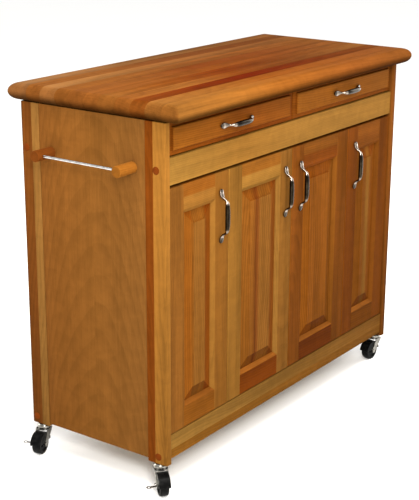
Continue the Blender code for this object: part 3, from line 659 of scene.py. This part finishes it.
def front_rails():
    """The pale rails above and below the doors."""
    low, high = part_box("upper_front_rail")
    middle = (low.x + high.x) / 2
    mesh = cut_board(low, high, RAIL_EASE, x=[middle - 0.2, middle, middle + 0.2])
    stops = [(low.x, srgb(204, 156, 82)), (middle - 0.11, srgb(192, 138, 66)),
             (middle + 0.02, srgb(202, 152, 80)), (high.x, srgb(196, 146, 76))]
    heart = heart_near(low, high, "xzy", 0.09, 0.03)
    describe(mesh, [(0, stops, 31.7, heart)], "x", along="x")
    add_piece("upper_front_rail_board", mesh, RAIL_WOOD, "cabinet", ["upper_front_rail"], "pale_wood")

    low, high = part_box("lower_front_rail")
    mesh = cut_board(low, high, RAIL_EASE, z=[RAIL_SEAM], x=[middle])
    orange = [(low.x, srgb(186, 128, 54)), (high.x, srgb(168, 114, 50))]
    pale = [(low.x, srgb(202, 156, 84)), (high.x, srgb(170, 118, 56))]
    boards = [(RAIL_SEAM, orange, 12.2, heart_near(low, high, "xzy", 0.06, -0.02)),
              (high.z, pale, 40.9, heart_near(low, high, "xzy", 0.10, 0.02))]
    describe(mesh, boards, "x", split="z", along="x")
    add_piece("lower_front_rail_board", mesh, RAIL_WOOD, "cabinet", ["lower_front_rail"], "pale_wood")


def back_panel():
    """Four veneer leaves side by side on the back, and its screws."""
    low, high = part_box("back_panel")
    width = high.x - low.x
    seams = [low.x + width * share for share in (0.26, 0.5, 0.74)]
    mesh = cut_board(low, high, 0.0006, x=seams)
    colours = (srgb(184, 130, 72), srgb(178, 122, 66), srgb(186, 132, 74), srgb(176, 120, 64))
    edges = [low.x, *seams, high.x]
    boards = []
    for number, colour in enumerate(colours):
        middle = (edges[number] + edges[number + 1]) / 2 + 0.02 * math.sin(3.1 * number)
        heart = Vector((middle, high.y - 0.075, 0.35 + 0.08 * number))
        boards.append((edges[number + 1], colour, 9.4 * number + 3, heart))
    describe(mesh, boards, "z", split="x")
    add_piece("back_panel_veneer", mesh, BACK_WOOD, "cabinet", ["back_panel"], "panel_wood")
    for row, z in (("low", low.z + 0.02), ("middle", (low.z + high.z) / 2), ("high", high.z - 0.03)):
        for column in range(5):
            x = low.x + 0.012 + (width - 0.024) * column / 4
            screw(f"back_screw_{row}_{column + 1}", (x, high.y, z), 0.0038, "cabinet")


def screw_form(place, axis, sign, radius):
    """A pan-head screw with a recess, its head standing on a face."""
    height = radius * 0.55
    profile = [(radius, -0.0004), (radius, height * 0.25), (radius * 0.86, height * 0.66),
               (radius * 0.52, height * 0.94), (radius * 0.30, height), (radius * 0.22, height * 0.45),
               (radius * 0.02, height * 0.35)]
    return turned([(r, sign * a) for r, a in profile], place, axis, 20)


def screw(name, place, radius, body):
    """A screw in a rear face, as a piece of its own."""
    add_piece(name, finished(screw_form(place, "y", 1, radius), 40), ZINC, body)


INSIDE_BOARDS = [
    # Node, grain order, colour
    ("rear_top_rail", "xzy", srgb(228, 198, 150)),
    ("cabinet_floor", "xyz", srgb(236, 208, 160)),
    ("drawer_deck", "xyz", srgb(232, 204, 156)),
    ("drawer_divider", "yzx", srgb(228, 198, 148)),
    ("partition_left", "zyx", srgb(232, 202, 154)),
    ("partition_right", "zyx", srgb(228, 198, 148)),
    ("shelf_left", "yxz", srgb(234, 206, 158)),
    ("shelf_middle", "xyz", srgb(236, 208, 160)),
    ("shelf_right", "yxz", srgb(232, 204, 156)),
]
SHELF_PIN = [(0.0026, 0.0), (0.0026, 0.0085), (0.0020, 0.0092)]


def inside_boards():
    """The boards inside the cabinet, and four pins under each shelf."""
    for node, order, colour in INSIDE_BOARDS:
        low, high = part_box(node)
        add_board(node + "_board", low, high, order, colour, "cabinet", node, 0.0010)
    for side in ("left", "middle", "right"):
        low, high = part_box(f"shelf_{side}")
        for edge, x, sign in (("left", low.x, 1), ("right", high.x, -1)):
            for row, y in (("front", low.y + 0.035), ("rear", high.y - 0.035)):
                place = (x - sign * 0.0002, y, low.z - SHELF_PIN[0][0])
                pin = turned([(radius, sign * along) for radius, along in SHELF_PIN], place, "x", 20)
                add_piece(f"shelf_pin_{side}_{edge}_{row}", finished(pin), ZINC, "cabinet")


# -------- doors

STILE = 0.050
TOP_RAIL = 0.056
BOTTOM_RAIL = 0.0495
STICKING = 0.009
STICKING_DROP = 0.0078
PANEL_BEVEL = 0.0265
PANEL_EDGE_DEPTH = 0.0086
PANEL_STEP = 0.0034
PANEL_FACE = 0.0010
PANEL_TONGUE = 0.0070
PANEL_BACK = 0.0135

# Colours of a door: left stile, right stile, the lower and upper halves of its top rail, bottom rail, and its
# panel: the seams between its boards, and its colours from the left, both by share of the panel's width
DOORS = {
    1: (srgb(182, 122, 58), srgb(174, 118, 53), (srgb(200, 142, 70), srgb(186, 116, 46)), srgb(184, 116, 44),
        (0.30, 0.72), [(0.27, srgb(188, 116, 44)), (0.34, srgb(196, 134, 64)), (0.68, srgb(196, 134, 64)),
                       (0.76, srgb(180, 102, 34))]),
    2: (srgb(180, 129, 61), srgb(173, 120, 57), (srgb(200, 148, 74), srgb(184, 120, 50)), srgb(150, 78, 20),
        (0.40, 0.80), [(0.30, srgb(190, 122, 52)), (0.385, srgb(154, 88, 38)), (0.43, srgb(166, 98, 44)),
                       (0.50, srgb(190, 130, 62)), (0.76, srgb(188, 128, 62)), (0.84, srgb(176, 104, 42))]),
    # Doors 3 and 4 are darker partly from their wood and partly from painted shade, as the light falls off
    # towards the right
    3: (srgb(162, 96, 36), srgb(152, 90, 32), (srgb(166, 92, 34), srgb(180, 112, 46)), srgb(130, 66, 18),
        (0.40,), [(0.0, srgb(172, 104, 38)), (1.0, srgb(172, 106, 40))]),
    4: (srgb(150, 84, 28), srgb(144, 82, 28), (srgb(168, 100, 40), srgb(172, 104, 42)), srgb(146, 86, 26),
        (0.46, 0.62), [(0.42, srgb(166, 102, 40)), (0.50, srgb(180, 126, 60)), (0.58, srgb(180, 126, 60)),
                       (0.68, srgb(162, 96, 34))]),
}
MOULDING_PAINTED_LIGHT = (0.61, 0.215, 0.038)  # the painted highlight on the moulding of a bottom rail


def sticking_profile():
    """The moulded inner edge as (distance out from the opening's flat edge, depth) points."""
    shares = [step / 8 for step in range(9)]
    return [(STICKING * share, STICKING_DROP * (0.62 * share + 0.38 * share ** 3)) for share in shares]


def frame_member(number, part, edge, board, strip, depths, colour):
    """A stile or rail of a door: a flat board and its mitred strip of moulding along one edge.

    The strip is the rectangle between the board's inner edge and the opening, whose side is named by edge.
    """
    front, back = depths
    board_low = Vector((board[0], front, board[2]))
    board_high = Vector((board[1], back, board[3]))
    model = block(board_low, board_high, 0.0007)
    two_tone = isinstance(colour[0], tuple)
    if two_tone:
        seam = (board[2] + board[3]) / 2
        cut(model, "z", [seam - 0.002, seam + 0.002])
    starts = []
    ends = []
    profile = [(out, front + drop) for out, drop in sticking_profile()] + [(STICKING, back), (0.0, back)]
    for out, y in profile:
        left, right, low, high = inset(strip, out)
        if edge == "right":
            right = left
        elif edge == "left":
            left = right
        elif edge == "up":
            high = low
        else:
            low = high
        starts.append((left, y, low))
        ends.append((right, y, high))
    mesh = finished(loft([starts, ends], model=model))
    material, order = (DOOR_UPRIGHT, "zxy") if edge in ("left", "right") else (DOOR_LEVEL, "xzy")
    name = f"door_{number}_{part}"
    seed = seed_of(name)
    heart = heart_near(board_low, board_high, order, 0.055, 0.03 * math.sin(seed), 0.1 * math.cos(seed))

    def moulding_painted_light(face):
        """Painted highlights that brighten the mouldings of the stiles and of the bottom rail, and the left
        edge of a left stile.
        """
        if edge == "right" and face.normal.x < -0.3:
            return (1.5, 1.6, 1.7)
        if edge == "up" and face.normal.z > 0.3 and face.normal.y < -0.3:
            return tuple(lit_part / part for lit_part, part in zip(MOULDING_PAINTED_LIGHT, colour))
        if edge == "left" and face.normal.x < -0.3 and face.normal.y < -0.3:
            return (1.20, 1.35, 1.6)
        return (1.0, 1.0, 1.0)

    if two_tone:
        stops = [(seam - 0.002, colour[0]), (seam + 0.002, colour[1])]
        describe(mesh, [(0, stops, seed, heart)], order[0], along="z")
    else:
        describe(mesh, [(0, colour, seed, heart)], order[0], shade=moulding_painted_light)
    add_piece(name, mesh, material, f"door_{number}", [f"door_frame_{number}"], "door_wood")


def bevel_stain_and_painted_shade(face):
    """The bevels across the top and bottom of a raised panel cut the grain and take more stain; their
    darkening is also painted shade, most on the bottom bevels, which face down.
    """
    if face.normal.z > 0.04:
        return (0.92, 0.78, 0.56)
    if face.normal.z < -0.04:
        return (0.65, 0.55, 0.40)
    return (1.0, 1.0, 1.0)


def door(number):
    """Stiles and rails with a moulded inner edge round a raised panel."""
    low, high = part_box(f"door_frame_{number}")
    front = low.y
    left_stile, right_stile, top_rail, bottom_rail, seams, colours = DOORS[number]
    flat = (low.x + STILE, high.x - STILE, low.z + BOTTOM_RAIL, high.z - TOP_RAIL)
    sight = inset(flat, STICKING)
    left, right, lower, upper = flat
    for part, edge, board, strip, paint in (
        ("stile_left", "right", (low.x, left, low.z, high.z), (left, sight[0], lower, upper), left_stile),
        ("stile_right", "left", (right, high.x, low.z, high.z), (sight[1], right, lower, upper), right_stile),
        ("rail_top", "down", (left, right, upper, high.z), (left, right, sight[3], upper), top_rail),
        ("rail_bottom", "up", (left, right, low.z, lower), (left, right, lower, sight[2]), bottom_rail),
    ):
        frame_member(number, part, edge, board, strip, (front, high.y), paint)

    tongue = inset(sight, -PANEL_TONGUE)
    rings = [
        rectangle(tongue, front + PANEL_BACK),
        rectangle(tongue, front + PANEL_EDGE_DEPTH),
        rectangle(sight, front + PANEL_EDGE_DEPTH),
    ]
    for step in range(1, 9):
        share = step / 8
        drop = PANEL_EDGE_DEPTH + (PANEL_STEP - PANEL_EDGE_DEPTH) * share ** 1.25
        rings.append(rectangle(inset(sight, PANEL_BEVEL * share), front + drop))
    rings.append(rectangle(inset(sight, PANEL_BEVEL + 0.0003), front + PANEL_FACE + 0.0006))
    rings.append(rectangle(inset(sight, PANEL_BEVEL + 0.0010), front + PANEL_FACE))
    model = loft(rings)
    width = tongue[1] - tongue[0]
    stops = [(tongue[0] + width * share, colour) for share, colour in colours]
    ends = [tongue[0] + width * share for share in (*seams, 1.0)]
    cut(model, "x", ends[:-1] + [place for place, _ in stops])
    mesh = finished(model, 25)
    boards = []
    start = tongue[0]
    for place, end in enumerate(ends):
        seed = 17.7 * number + 5.3 * place
        aside = 0.012 * math.sin(seed)
        heart = Vector(((start + end) / 2 + aside, front + 0.055, 0.30 + 0.07 * number + 0.1 * place))
        boards.append((end, stops, seed, heart))
        start = end
    describe(mesh, boards, "z", split="x", along="x", shade=bevel_stain_and_painted_shade)
    add_piece(f"door_{number}_raised_panel", mesh, DOOR_PANEL, f"door_{number}", [f"door_panel_{number}"])


HINGE_HEIGHTS = {"lower": 0.075, "upper": 0.483}  # above the bottom of the door
HINGE_WALLS = {1: "post_front_left", 2: "partition_left", 3: "partition_right", 4: "post_front_right"}
CUP_CENTRE = 0.0225  # from the hinge edge
CUP_SCREWS = 0.0215  # above and below the middle of the hinge
PLATE_SCREWS = 0.0115
PLATE_THICKNESS = 0.0022
CUP_RIM = [(0.0175, -0.0004), (0.0175, 0.0009), (0.0171, 0.0012), (0.0142, 0.0012), (0.0136, 0.0004),
           (0.0004, 0.0004)]


def merged(forms):
    """The mesh of several separate forms of one pressed or cast fitting."""
    whole = bmesh.new()
    for form in forms:
        mesh = bpy.data.meshes.new("form")
        bmesh.ops.recalc_face_normals(form, faces=form.faces)
        form.to_mesh(mesh)
        form.free()
        whole.from_mesh(mesh)
        bpy.data.meshes.remove(mesh)
    return finished(whole, 40)


def leaf(ends, depths, z, half_height, radius, segments=3):
    """A plate or arm between two places along X and two along Y, centred on a height."""
    near, far = sorted(ends)
    return block((near, depths[0], z - half_height), (far, depths[1], z + half_height), radius, segments)


def hinges(number):
    """Two concealed hinges: a cup let into the stile, and an arm on a plate on the post or partition."""
    low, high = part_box(f"door_frame_{number}")
    wall_low, wall_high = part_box(HINGE_WALLS[number])
    inwards = 1 if number <= 2 else -1
    edge = low.x if inwards > 0 else high.x
    wall = wall_high.x if inwards > 0 else wall_low.x
    back = high.y
    cup_x = edge + inwards * CUP_CENTRE
    flange_ends = (cup_x + inwards * 0.003, cup_x + inwards * 0.0150)
    plate_face = wall + inwards * PLATE_THICKNESS
    arm_ends = (wall + inwards * 0.0020, cup_x)
    bridge_ends = (wall + inwards * 0.0018, wall + inwards * 0.0100)
    for level, rise in HINGE_HEIGHTS.items():
        z = low.z + rise
        forms = [turned(CUP_RIM, (cup_x, back, z), "y", 40),
                 leaf(flange_ends, (back - 0.0004, back + 0.0009), z, 0.026, 0.0004, 2)]
        for shift in (-CUP_SCREWS, CUP_SCREWS):
            forms.append(screw_form((cup_x + inwards * 0.009, back + 0.0009, z + shift), "y", 1, 0.0032))
        add_piece(f"door_{number}_hinge_cup_{level}", merged(forms), ZINC, f"door_{number}")

        forms = [leaf((wall, plate_face), (back + 0.006, back + 0.044), z, 0.016, 0.0006, 2),
                 leaf(arm_ends, (back + 0.0024, back + 0.0090), z, 0.0065, 0.0014),
                 leaf(bridge_ends, (back + 0.0040, back + 0.0400), z, 0.0062, 0.0014)]
        for shift in (-PLATE_SCREWS, PLATE_SCREWS):
            forms.append(screw_form((plate_face, back + 0.030, z + shift), "x", inwards, 0.0028))
        add_piece(f"hinge_arm_{number}_{level}", merged(forms), ZINC, "cabinet")


# -------- drawers

DRAWER_LIP = 0.0135
DRAWER_LOWER_LIP = 0.0105
DRAWER_LIP_DEPTH = 0.0055
DRAWER_EASE = 0.0012
DRAWER_COVE = 0.0040
BOX_WALL = 0.012


def drawer(side):
    """A routed front on a box of four boards and a bottom."""
    node = f"drawer_front_{side}"
    body = f"drawer_{side}"
    low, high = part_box(node)
    step_y = low.y + DRAWER_LIP_DEPTH

    def ring(distance, lower, y):
        """The outline moved in at its sides by one distance and at its top and bottom by another."""
        return rectangle((low.x + distance, high.x - distance, low.z + lower, high.z - lower), y)

    def lip_stain_and_painted_shade(face):
        """The routed border is darker: stain gathers there, and it carries painted shade."""
        return (0.76, 0.62, 0.50) if face.center.y > low.y + 0.002 else (1.0, 1.0, 1.0)

    rings = [
        ring(0, 0, high.y),
        ring(0, 0, step_y + DRAWER_EASE),
        ring(DRAWER_EASE, DRAWER_EASE, step_y),
        ring(DRAWER_LIP, DRAWER_LOWER_LIP, step_y),
    ]
    for step in range(1, 8):
        angle = math.pi / 2 * step / 7
        out = DRAWER_COVE * (1 - math.cos(angle))
        y = low.y + DRAWER_LIP_DEPTH * (1 - math.sin(angle))
        rings.append(ring(DRAWER_LIP + out, DRAWER_LOWER_LIP + out, y))
    model = loft(rings)
    middle = (low.x + high.x) / 2
    cut(model, "x", [middle - 0.08, middle + 0.02])
    mesh = finished(model, 25)
    if side == "left":
        aside = 0.02
        stops = [(low.x, srgb(204, 128, 48)), (middle - 0.08, srgb(200, 122, 46)),
                 (middle + 0.02, srgb(188, 108, 40)), (high.x, srgb(190, 114, 44))]
    else:
        aside = -0.015
        stops = [(low.x, srgb(200, 126, 50)), (middle, srgb(196, 122, 48)), (high.x, srgb(190, 120, 50))]
    heart = heart_near(low, high, "xzy", 0.05, aside, -0.1)
    describe(mesh, [(0, stops, seed_of(node), heart)], "x", along="x", shade=lip_stain_and_painted_shade)
    add_piece(f"{node}_board", mesh, DRAWER_WOOD, body, [node])

    node = f"drawer_box_{side}"
    box_low, box_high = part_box(node)
    left, front, bottom = box_low
    right, rear, top = box_high
    inner_left = left + BOX_WALL
    inner_right = right - BOX_WALL
    for part, start, end, order in (
        ("left", (left, front, bottom), (inner_left, rear, top), "yzx"),
        ("right", (inner_right, front, bottom), (right, rear, top), "yzx"),
        ("front", (inner_left, front, bottom), (inner_right, front + BOX_WALL, top), "xzy"),
        ("rear", (inner_left, rear - BOX_WALL, bottom), (inner_right, rear, top), "xzy"),
    ):
        add_board(f"{node}_{part}", start, end, order, srgb(232, 200, 150), body, node, 0.0008)
    node = f"drawer_bottom_{side}"
    add_board(f"{node}_board", *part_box(node), "xyz", srgb(236, 208, 160), body, node, 0.0004)


# -------- pulls

# Half of a pull: distance along it, height of its centre line, half width and half thickness
PULL_STATIONS = [
    (0.0000, 0.0206, 0.0064, 0.0054),
    (0.0150, 0.0205, 0.0062, 0.0053),
    (0.0265, 0.0198, 0.0054, 0.0048),
    (0.0338, 0.0182, 0.0040, 0.0037),
    (0.0378, 0.0150, 0.0028, 0.0027),
    (0.0405, 0.0112, 0.0028, 0.0027),
    (0.0438, 0.0076, 0.0040, 0.0032),
    (0.0480, 0.0052, 0.0060, 0.0036),
    (0.0525, 0.0042, 0.0068, 0.0036),
    (0.0570, 0.0036, 0.0062, 0.0032),
    (0.0602, 0.0030, 0.0044, 0.0025),
    (0.0618, 0.0024, 0.0020, 0.0014),
]
PULL_SIDES = 20
# Painted highlight on a pull, by the distance from its middle, on its upper or right half and on the other
# one.
HIGHLIGHT_NEAR = [(0.0285, (0.0,)), (0.0325, (0.9,)), (0.038, (0.42,)), (0.050, (0.42,)), (0.054, (0.95,)),
             (0.058, (0.25,)), (0.062, (0.0,))]
HIGHLIGHT_FAR = [(0.0285, (0.0,)), (0.0325, (0.55,)), (0.037, (0.15,)), (0.043, (0.25,)), (0.0465, (0.95,)),
            (0.0495, (0.10,)), (0.062, (0.0,))]
DOOR_THICKNESS = 0.0190
DRAWER_WALLS = 0.0313  # front board, gap and box wall
PULL_SCREW = 0.048  # from the pull's middle


def spline(points, steps):
    """Points on a Catmull-Rom curve through the given rows of numbers."""
    rows = []
    for i in range(len(points) - 1):
        near = [points[max(i - 1, 0)], points[i], points[i + 1], points[min(i + 2, len(points) - 1)]]
        for step in range(steps):
            t = step / steps
            row = []
            for a, b, c, d in zip(*near):
                row.append(0.5 * (2 * b + (c - a) * t + (2 * a - 5 * b + 4 * c - d) * t * t
                                  + (3 * b - a - 3 * c + d) * t ** 3))
            rows.append(tuple(row))
    rows.append(tuple(points[-1]))
    return rows


def pull(node, body, level):
    """A bow pull with leaf-shaped feet, lying along X if level and along Z if not, and its two screws."""
    low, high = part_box(node)
    centre = (low + high) / 2
    foot = high.y
    mirrored = [(-a, h, w, t) for a, h, w, t in PULL_STATIONS[:0:-1]]
    stations = spline(mirrored + PULL_STATIONS, 4)
    across = Vector((0, 0, 1)) if level else Vector((1, 0, 0))
    lengthways = Vector((1, 0, 0)) if level else Vector((0, 0, 1))
    centres = [centre + lengthways * a + Vector((0, foot - h - centre.y, 0)) for a, h, _, _ in stations]
    rings = []
    for i, (middle, (_, _, half_width, half_thick)) in enumerate(zip(centres, stations)):
        tangent = (centres[min(i + 1, len(centres) - 1)] - centres[max(i - 1, 0)]).normalized()
        outward = across.cross(tangent)
        ring = []
        for k in range(PULL_SIDES):
            angle = 2 * math.pi * k / PULL_SIDES
            point = middle + across * half_width * math.cos(angle) + outward * half_thick * math.sin(angle)
            point.y = min(point.y, foot)
            ring.append(point)
        rings.append(ring)
    mesh = finished(loft(rings), 70)
    # Painted highlight: the nickel is brightened at set distances along the pull, more on one half
    painted_highlight = mesh.attributes.new("painted_highlight", "FLOAT", "POINT")
    for vert in mesh.vertices:
        along = (vert.co - centre).dot(lengthways)
        near = along < 0.0 if level else along > 0.0
        painted_highlight.data[vert.index].value = blended(HIGHLIGHT_NEAR if near else HIGHLIGHT_FAR, abs(along))[0]
    add_piece(f"{node}_bow", mesh, NICKEL, body, [node])
    for end, sign in (("a", -1), ("b", 1)):
        place = centre + lengthways * sign * PULL_SCREW
        place.y = foot + (DRAWER_WALLS if level else DOOR_THICKNESS)
        screw(f"{node}_screw_{end}", place, 0.0036, body)


# -------- towel bar

PEG_EDGE = 0.0020


def towel_bar():
    """Two wooden pegs with rounded ends and a thin steel rod between them."""
    for end, colour in (("front", srgb(208, 136, 58)), ("rear", srgb(168, 96, 42))):
        node = f"towel_peg_{end}"
        low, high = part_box(node)
        centre = (low + high) / 2
        inner = (high.z - low.z) / 2 - PEG_EDGE
        profile = [(inner + PEG_EDGE, high.x - centre.x)]
        for step in range(7):
            angle = math.pi / 2 * step / 6
            along = low.x - centre.x + PEG_EDGE - PEG_EDGE * math.sin(angle)
            profile.append((inner + PEG_EDGE * math.cos(angle), along))
        mesh = finished(turned(profile, centre, "x"), 30)
        heart = Vector((centre.x, centre.y + 0.006, centre.z - 0.02))
        describe(mesh, [(0, colour, seed_of(node), heart)], "x", end_shade=0.80)
        add_piece(f"{node}_dowel", mesh, DOWEL_WOOD, "cabinet", [node])
    low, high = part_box("towel_rod")
    radius = (high.z - low.z) / 2
    half = (high.y - low.y) / 2
    profile = [(radius * 0.6, -half), (radius, -half + 0.0008), (radius, half - 0.0008), (radius * 0.6, half)]
    mesh = finished(turned(profile, (low + high) / 2, "y", 28))
    add_piece("towel_rod_bar", mesh, ROD_STEEL, "cabinet", ["towel_rod"])


# -------- casters

CASTERS = ("front_left", "rear_left", "front_right", "rear_right")
# Half of a wheel from its bore out to its tread: hub, recessed web, rim shoulder and crowned tread
WHEEL_HALF = [
    (0.0034, 0.0108), (0.0076, 0.0108), (0.0080, 0.0104), (0.0083, 0.0078), (0.0092, 0.0072),
    (0.0165, 0.0072), (0.0176, 0.0078), (0.0182, 0.0098), (0.0188, 0.0102), (0.0216, 0.0102),
    (0.0232, 0.0098), (0.0243, 0.0088), (0.0248, 0.0072), (0.0250, 0.0040), (0.0250, 0.0010),
]
WHEEL_PROFILE = WHEEL_HALF + [(radius, -along) for radius, along in reversed(WHEEL_HALF)]
AXLE_HEIGHT = 0.025
# The cap over the stem's bearing, up to the foot of the post
CAP_PROFILE = [(0.0040, 0.0572), (0.0128, 0.0574), (0.0142, 0.0588), (0.0152, 0.0594), (0.0158, 0.0606),
               (0.0158, 0.0640), (0.0152, 0.0656), (0.0140, 0.0668)]


def caster(name):
    """A swivel caster: cap and stem, fork, hood, wheel and, where the CAD has one, a brake lever."""
    body = f"caster_{name}"
    stem_low, stem_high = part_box(f"caster_stem_{name}")
    stem = (stem_low + stem_high) / 2
    wheel_low, wheel_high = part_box(f"caster_wheel_{name}")
    axle = (wheel_low + wheel_high) / 2
    axle.z = AXLE_HEIGHT
    trail = Vector((axle.x - stem.x, axle.y - stem.y, 0)).normalized()

    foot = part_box(f"post_{name}")[0].z
    profile = CAP_PROFILE + [(0.0124, foot - 0.0004), (0.0053, foot - 0.0003), (0.0053, stem_high.z - 0.002),
                             (0.0040, stem_high.z)]
    mesh = finished(turned(profile, (stem.x, stem.y, 0)), 40)
    add_piece(f"caster_cap_{name}", mesh, ZINC, body, [f"caster_stem_{name}"])
    fork = f"caster_fork_{name}"
    hood = f"caster_hood_{name}"
    add_piece(f"caster_yoke_{name}", softened(fork, 0.00045), ZINC, body, [fork])
    add_piece(f"caster_cover_{name}", softened(hood, 0.0008, 3), HOOD_PLASTIC, body, [hood])

    model = turned(WHEEL_PROFILE, (0, 0, 0), "y", 64, joined=True)
    model.transform(Matrix.Translation(axle) @ Matrix.Rotation(math.atan2(trail.y, trail.x), 4, "Z"))
    mesh = finished(model, 40)
    add_piece(f"caster_tyre_{name}", mesh, WHEEL_RUBBER, f"wheel_{name}", [f"caster_wheel_{name}"])

    lever = f"brake_lever_{name}"
    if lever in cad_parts:
        add_piece(f"{lever}_plate", softened(lever, 0.0003), LEVER_STEEL, f"lever_{name}", [lever])


# -------- studio


def studio():
    """A pale floor, an even white surround and four soft lights, the strongest from the front left."""
    model = bmesh.new()
    bmesh.ops.create_grid(model, x_segments=24, y_segments=24, size=30.0)
    floor_mesh = finished(model)
    floor = bpy.data.objects.new("floor", floor_mesh)
    floor.location.z = -0.0002
    floor.location.z = -0.0002
    bpy.context.scene.collection.objects.link(floor)
    material, tree, shader, point = new_material("floor_paint")
    blotch = cloud(tree, point, (1.4, 1.4, 1.4), 4.0, 0.6)
    colour = mixed(tree, blotch, (0.985, 0.985, 0.98), (0.96, 0.96, 0.955))
    speck = cloud(tree, point, (190.0, 190.0, 190.0), 3.0)
    connect(tree, shader, colour, ramp(tree, speck, 0.2, 0.8, 0.62, 0.74), speck, 0.05, 0.0004)
    floor_mesh.materials.append(material)

    world = bpy.data.worlds.new("surround")
    bpy.context.scene.world = world
    world.use_nodes = True
    background = world.node_tree.nodes["Background"]
    background.inputs["Color"].default_value = (1.0, 0.995, 0.985, 1.0)
    background.inputs["Strength"].default_value = 1.0

    for name, place, aim, size, power in (
        ("key_light", (-2.9, -2.5, 2.5), (-0.1, -0.1, 0.5), 1.0, 160.0),
        ("top_light", (-1.0, -1.2, 3.1), (0.0, 0.0, 0.6), 1.3, 95.0),
        ("right_fill", (3.4, -1.0, 1.4), (0.4, 0.0, 0.45), 2.4, 70.0),
        ("back_fill", (-1.0, 3.4, 1.4), (0.0, 0.1, 0.45), 2.4, 90.0),
    ):
        data = bpy.data.lights.new(name, "AREA")
        data.energy = power
        data.size = size
        data.color = (1.0, 0.97, 0.92)
        light = bpy.data.objects.new(name, data)
        light.location = place
        light.rotation_mode = "QUATERNION"
        light.rotation_quaternion = (Vector(aim) - Vector(place)).to_track_quat("-Z", "Y")
        bpy.context.scene.collection.objects.link(light)


def camera():
    """The photograph's view, solved from the straight edges of the top and the cabinet."""
    heading = math.radians(54.967)
    dip = math.radians(17.366)
    roll = math.radians(0.478)
    forward = Vector((math.sin(heading) * math.cos(dip), math.cos(heading) * math.cos(dip), -math.sin(dip)))
    level = forward.cross(Vector((0, 0, 1))).normalized()
    upright = level.cross(forward)
    right = level * math.cos(roll) + upright * math.sin(roll)
    up = upright * math.cos(roll) - level * math.sin(roll)
    data = bpy.data.cameras.new("camera")
    data.lens = 91.18
    data.sensor_width = 36.0
    data.shift_x = -0.0344
    data.shift_y = -0.0077
    data.clip_end = 100.0
    lens = bpy.data.objects.new("camera", data)
    place = Matrix((right, up, -forward)).transposed().to_4x4()
    place.translation = (-2.4628, -1.7449, 1.3658)
    lens.matrix_world = place
    bpy.context.scene.collection.objects.link(lens)
    bpy.context.scene.camera = lens
    bpy.context.scene.view_settings.view_transform = "Standard"


butcher_block()
for post_name in POSTS:
    post(post_name)
button_plugs()
side_panels()
front_rails()
back_panel()
inside_boards()
for door_number in DOORS:
    door(door_number)
    hinges(door_number)
    pull(f"door_pull_{door_number}", f"door_{door_number}", level=False)
for drawer_side in ("left", "right"):
    drawer(drawer_side)
    pull(f"drawer_pull_{drawer_side}", f"drawer_{drawer_side}", level=True)
towel_bar()
for caster_name in CASTERS:
    caster(caster_name)
studio()
camera()
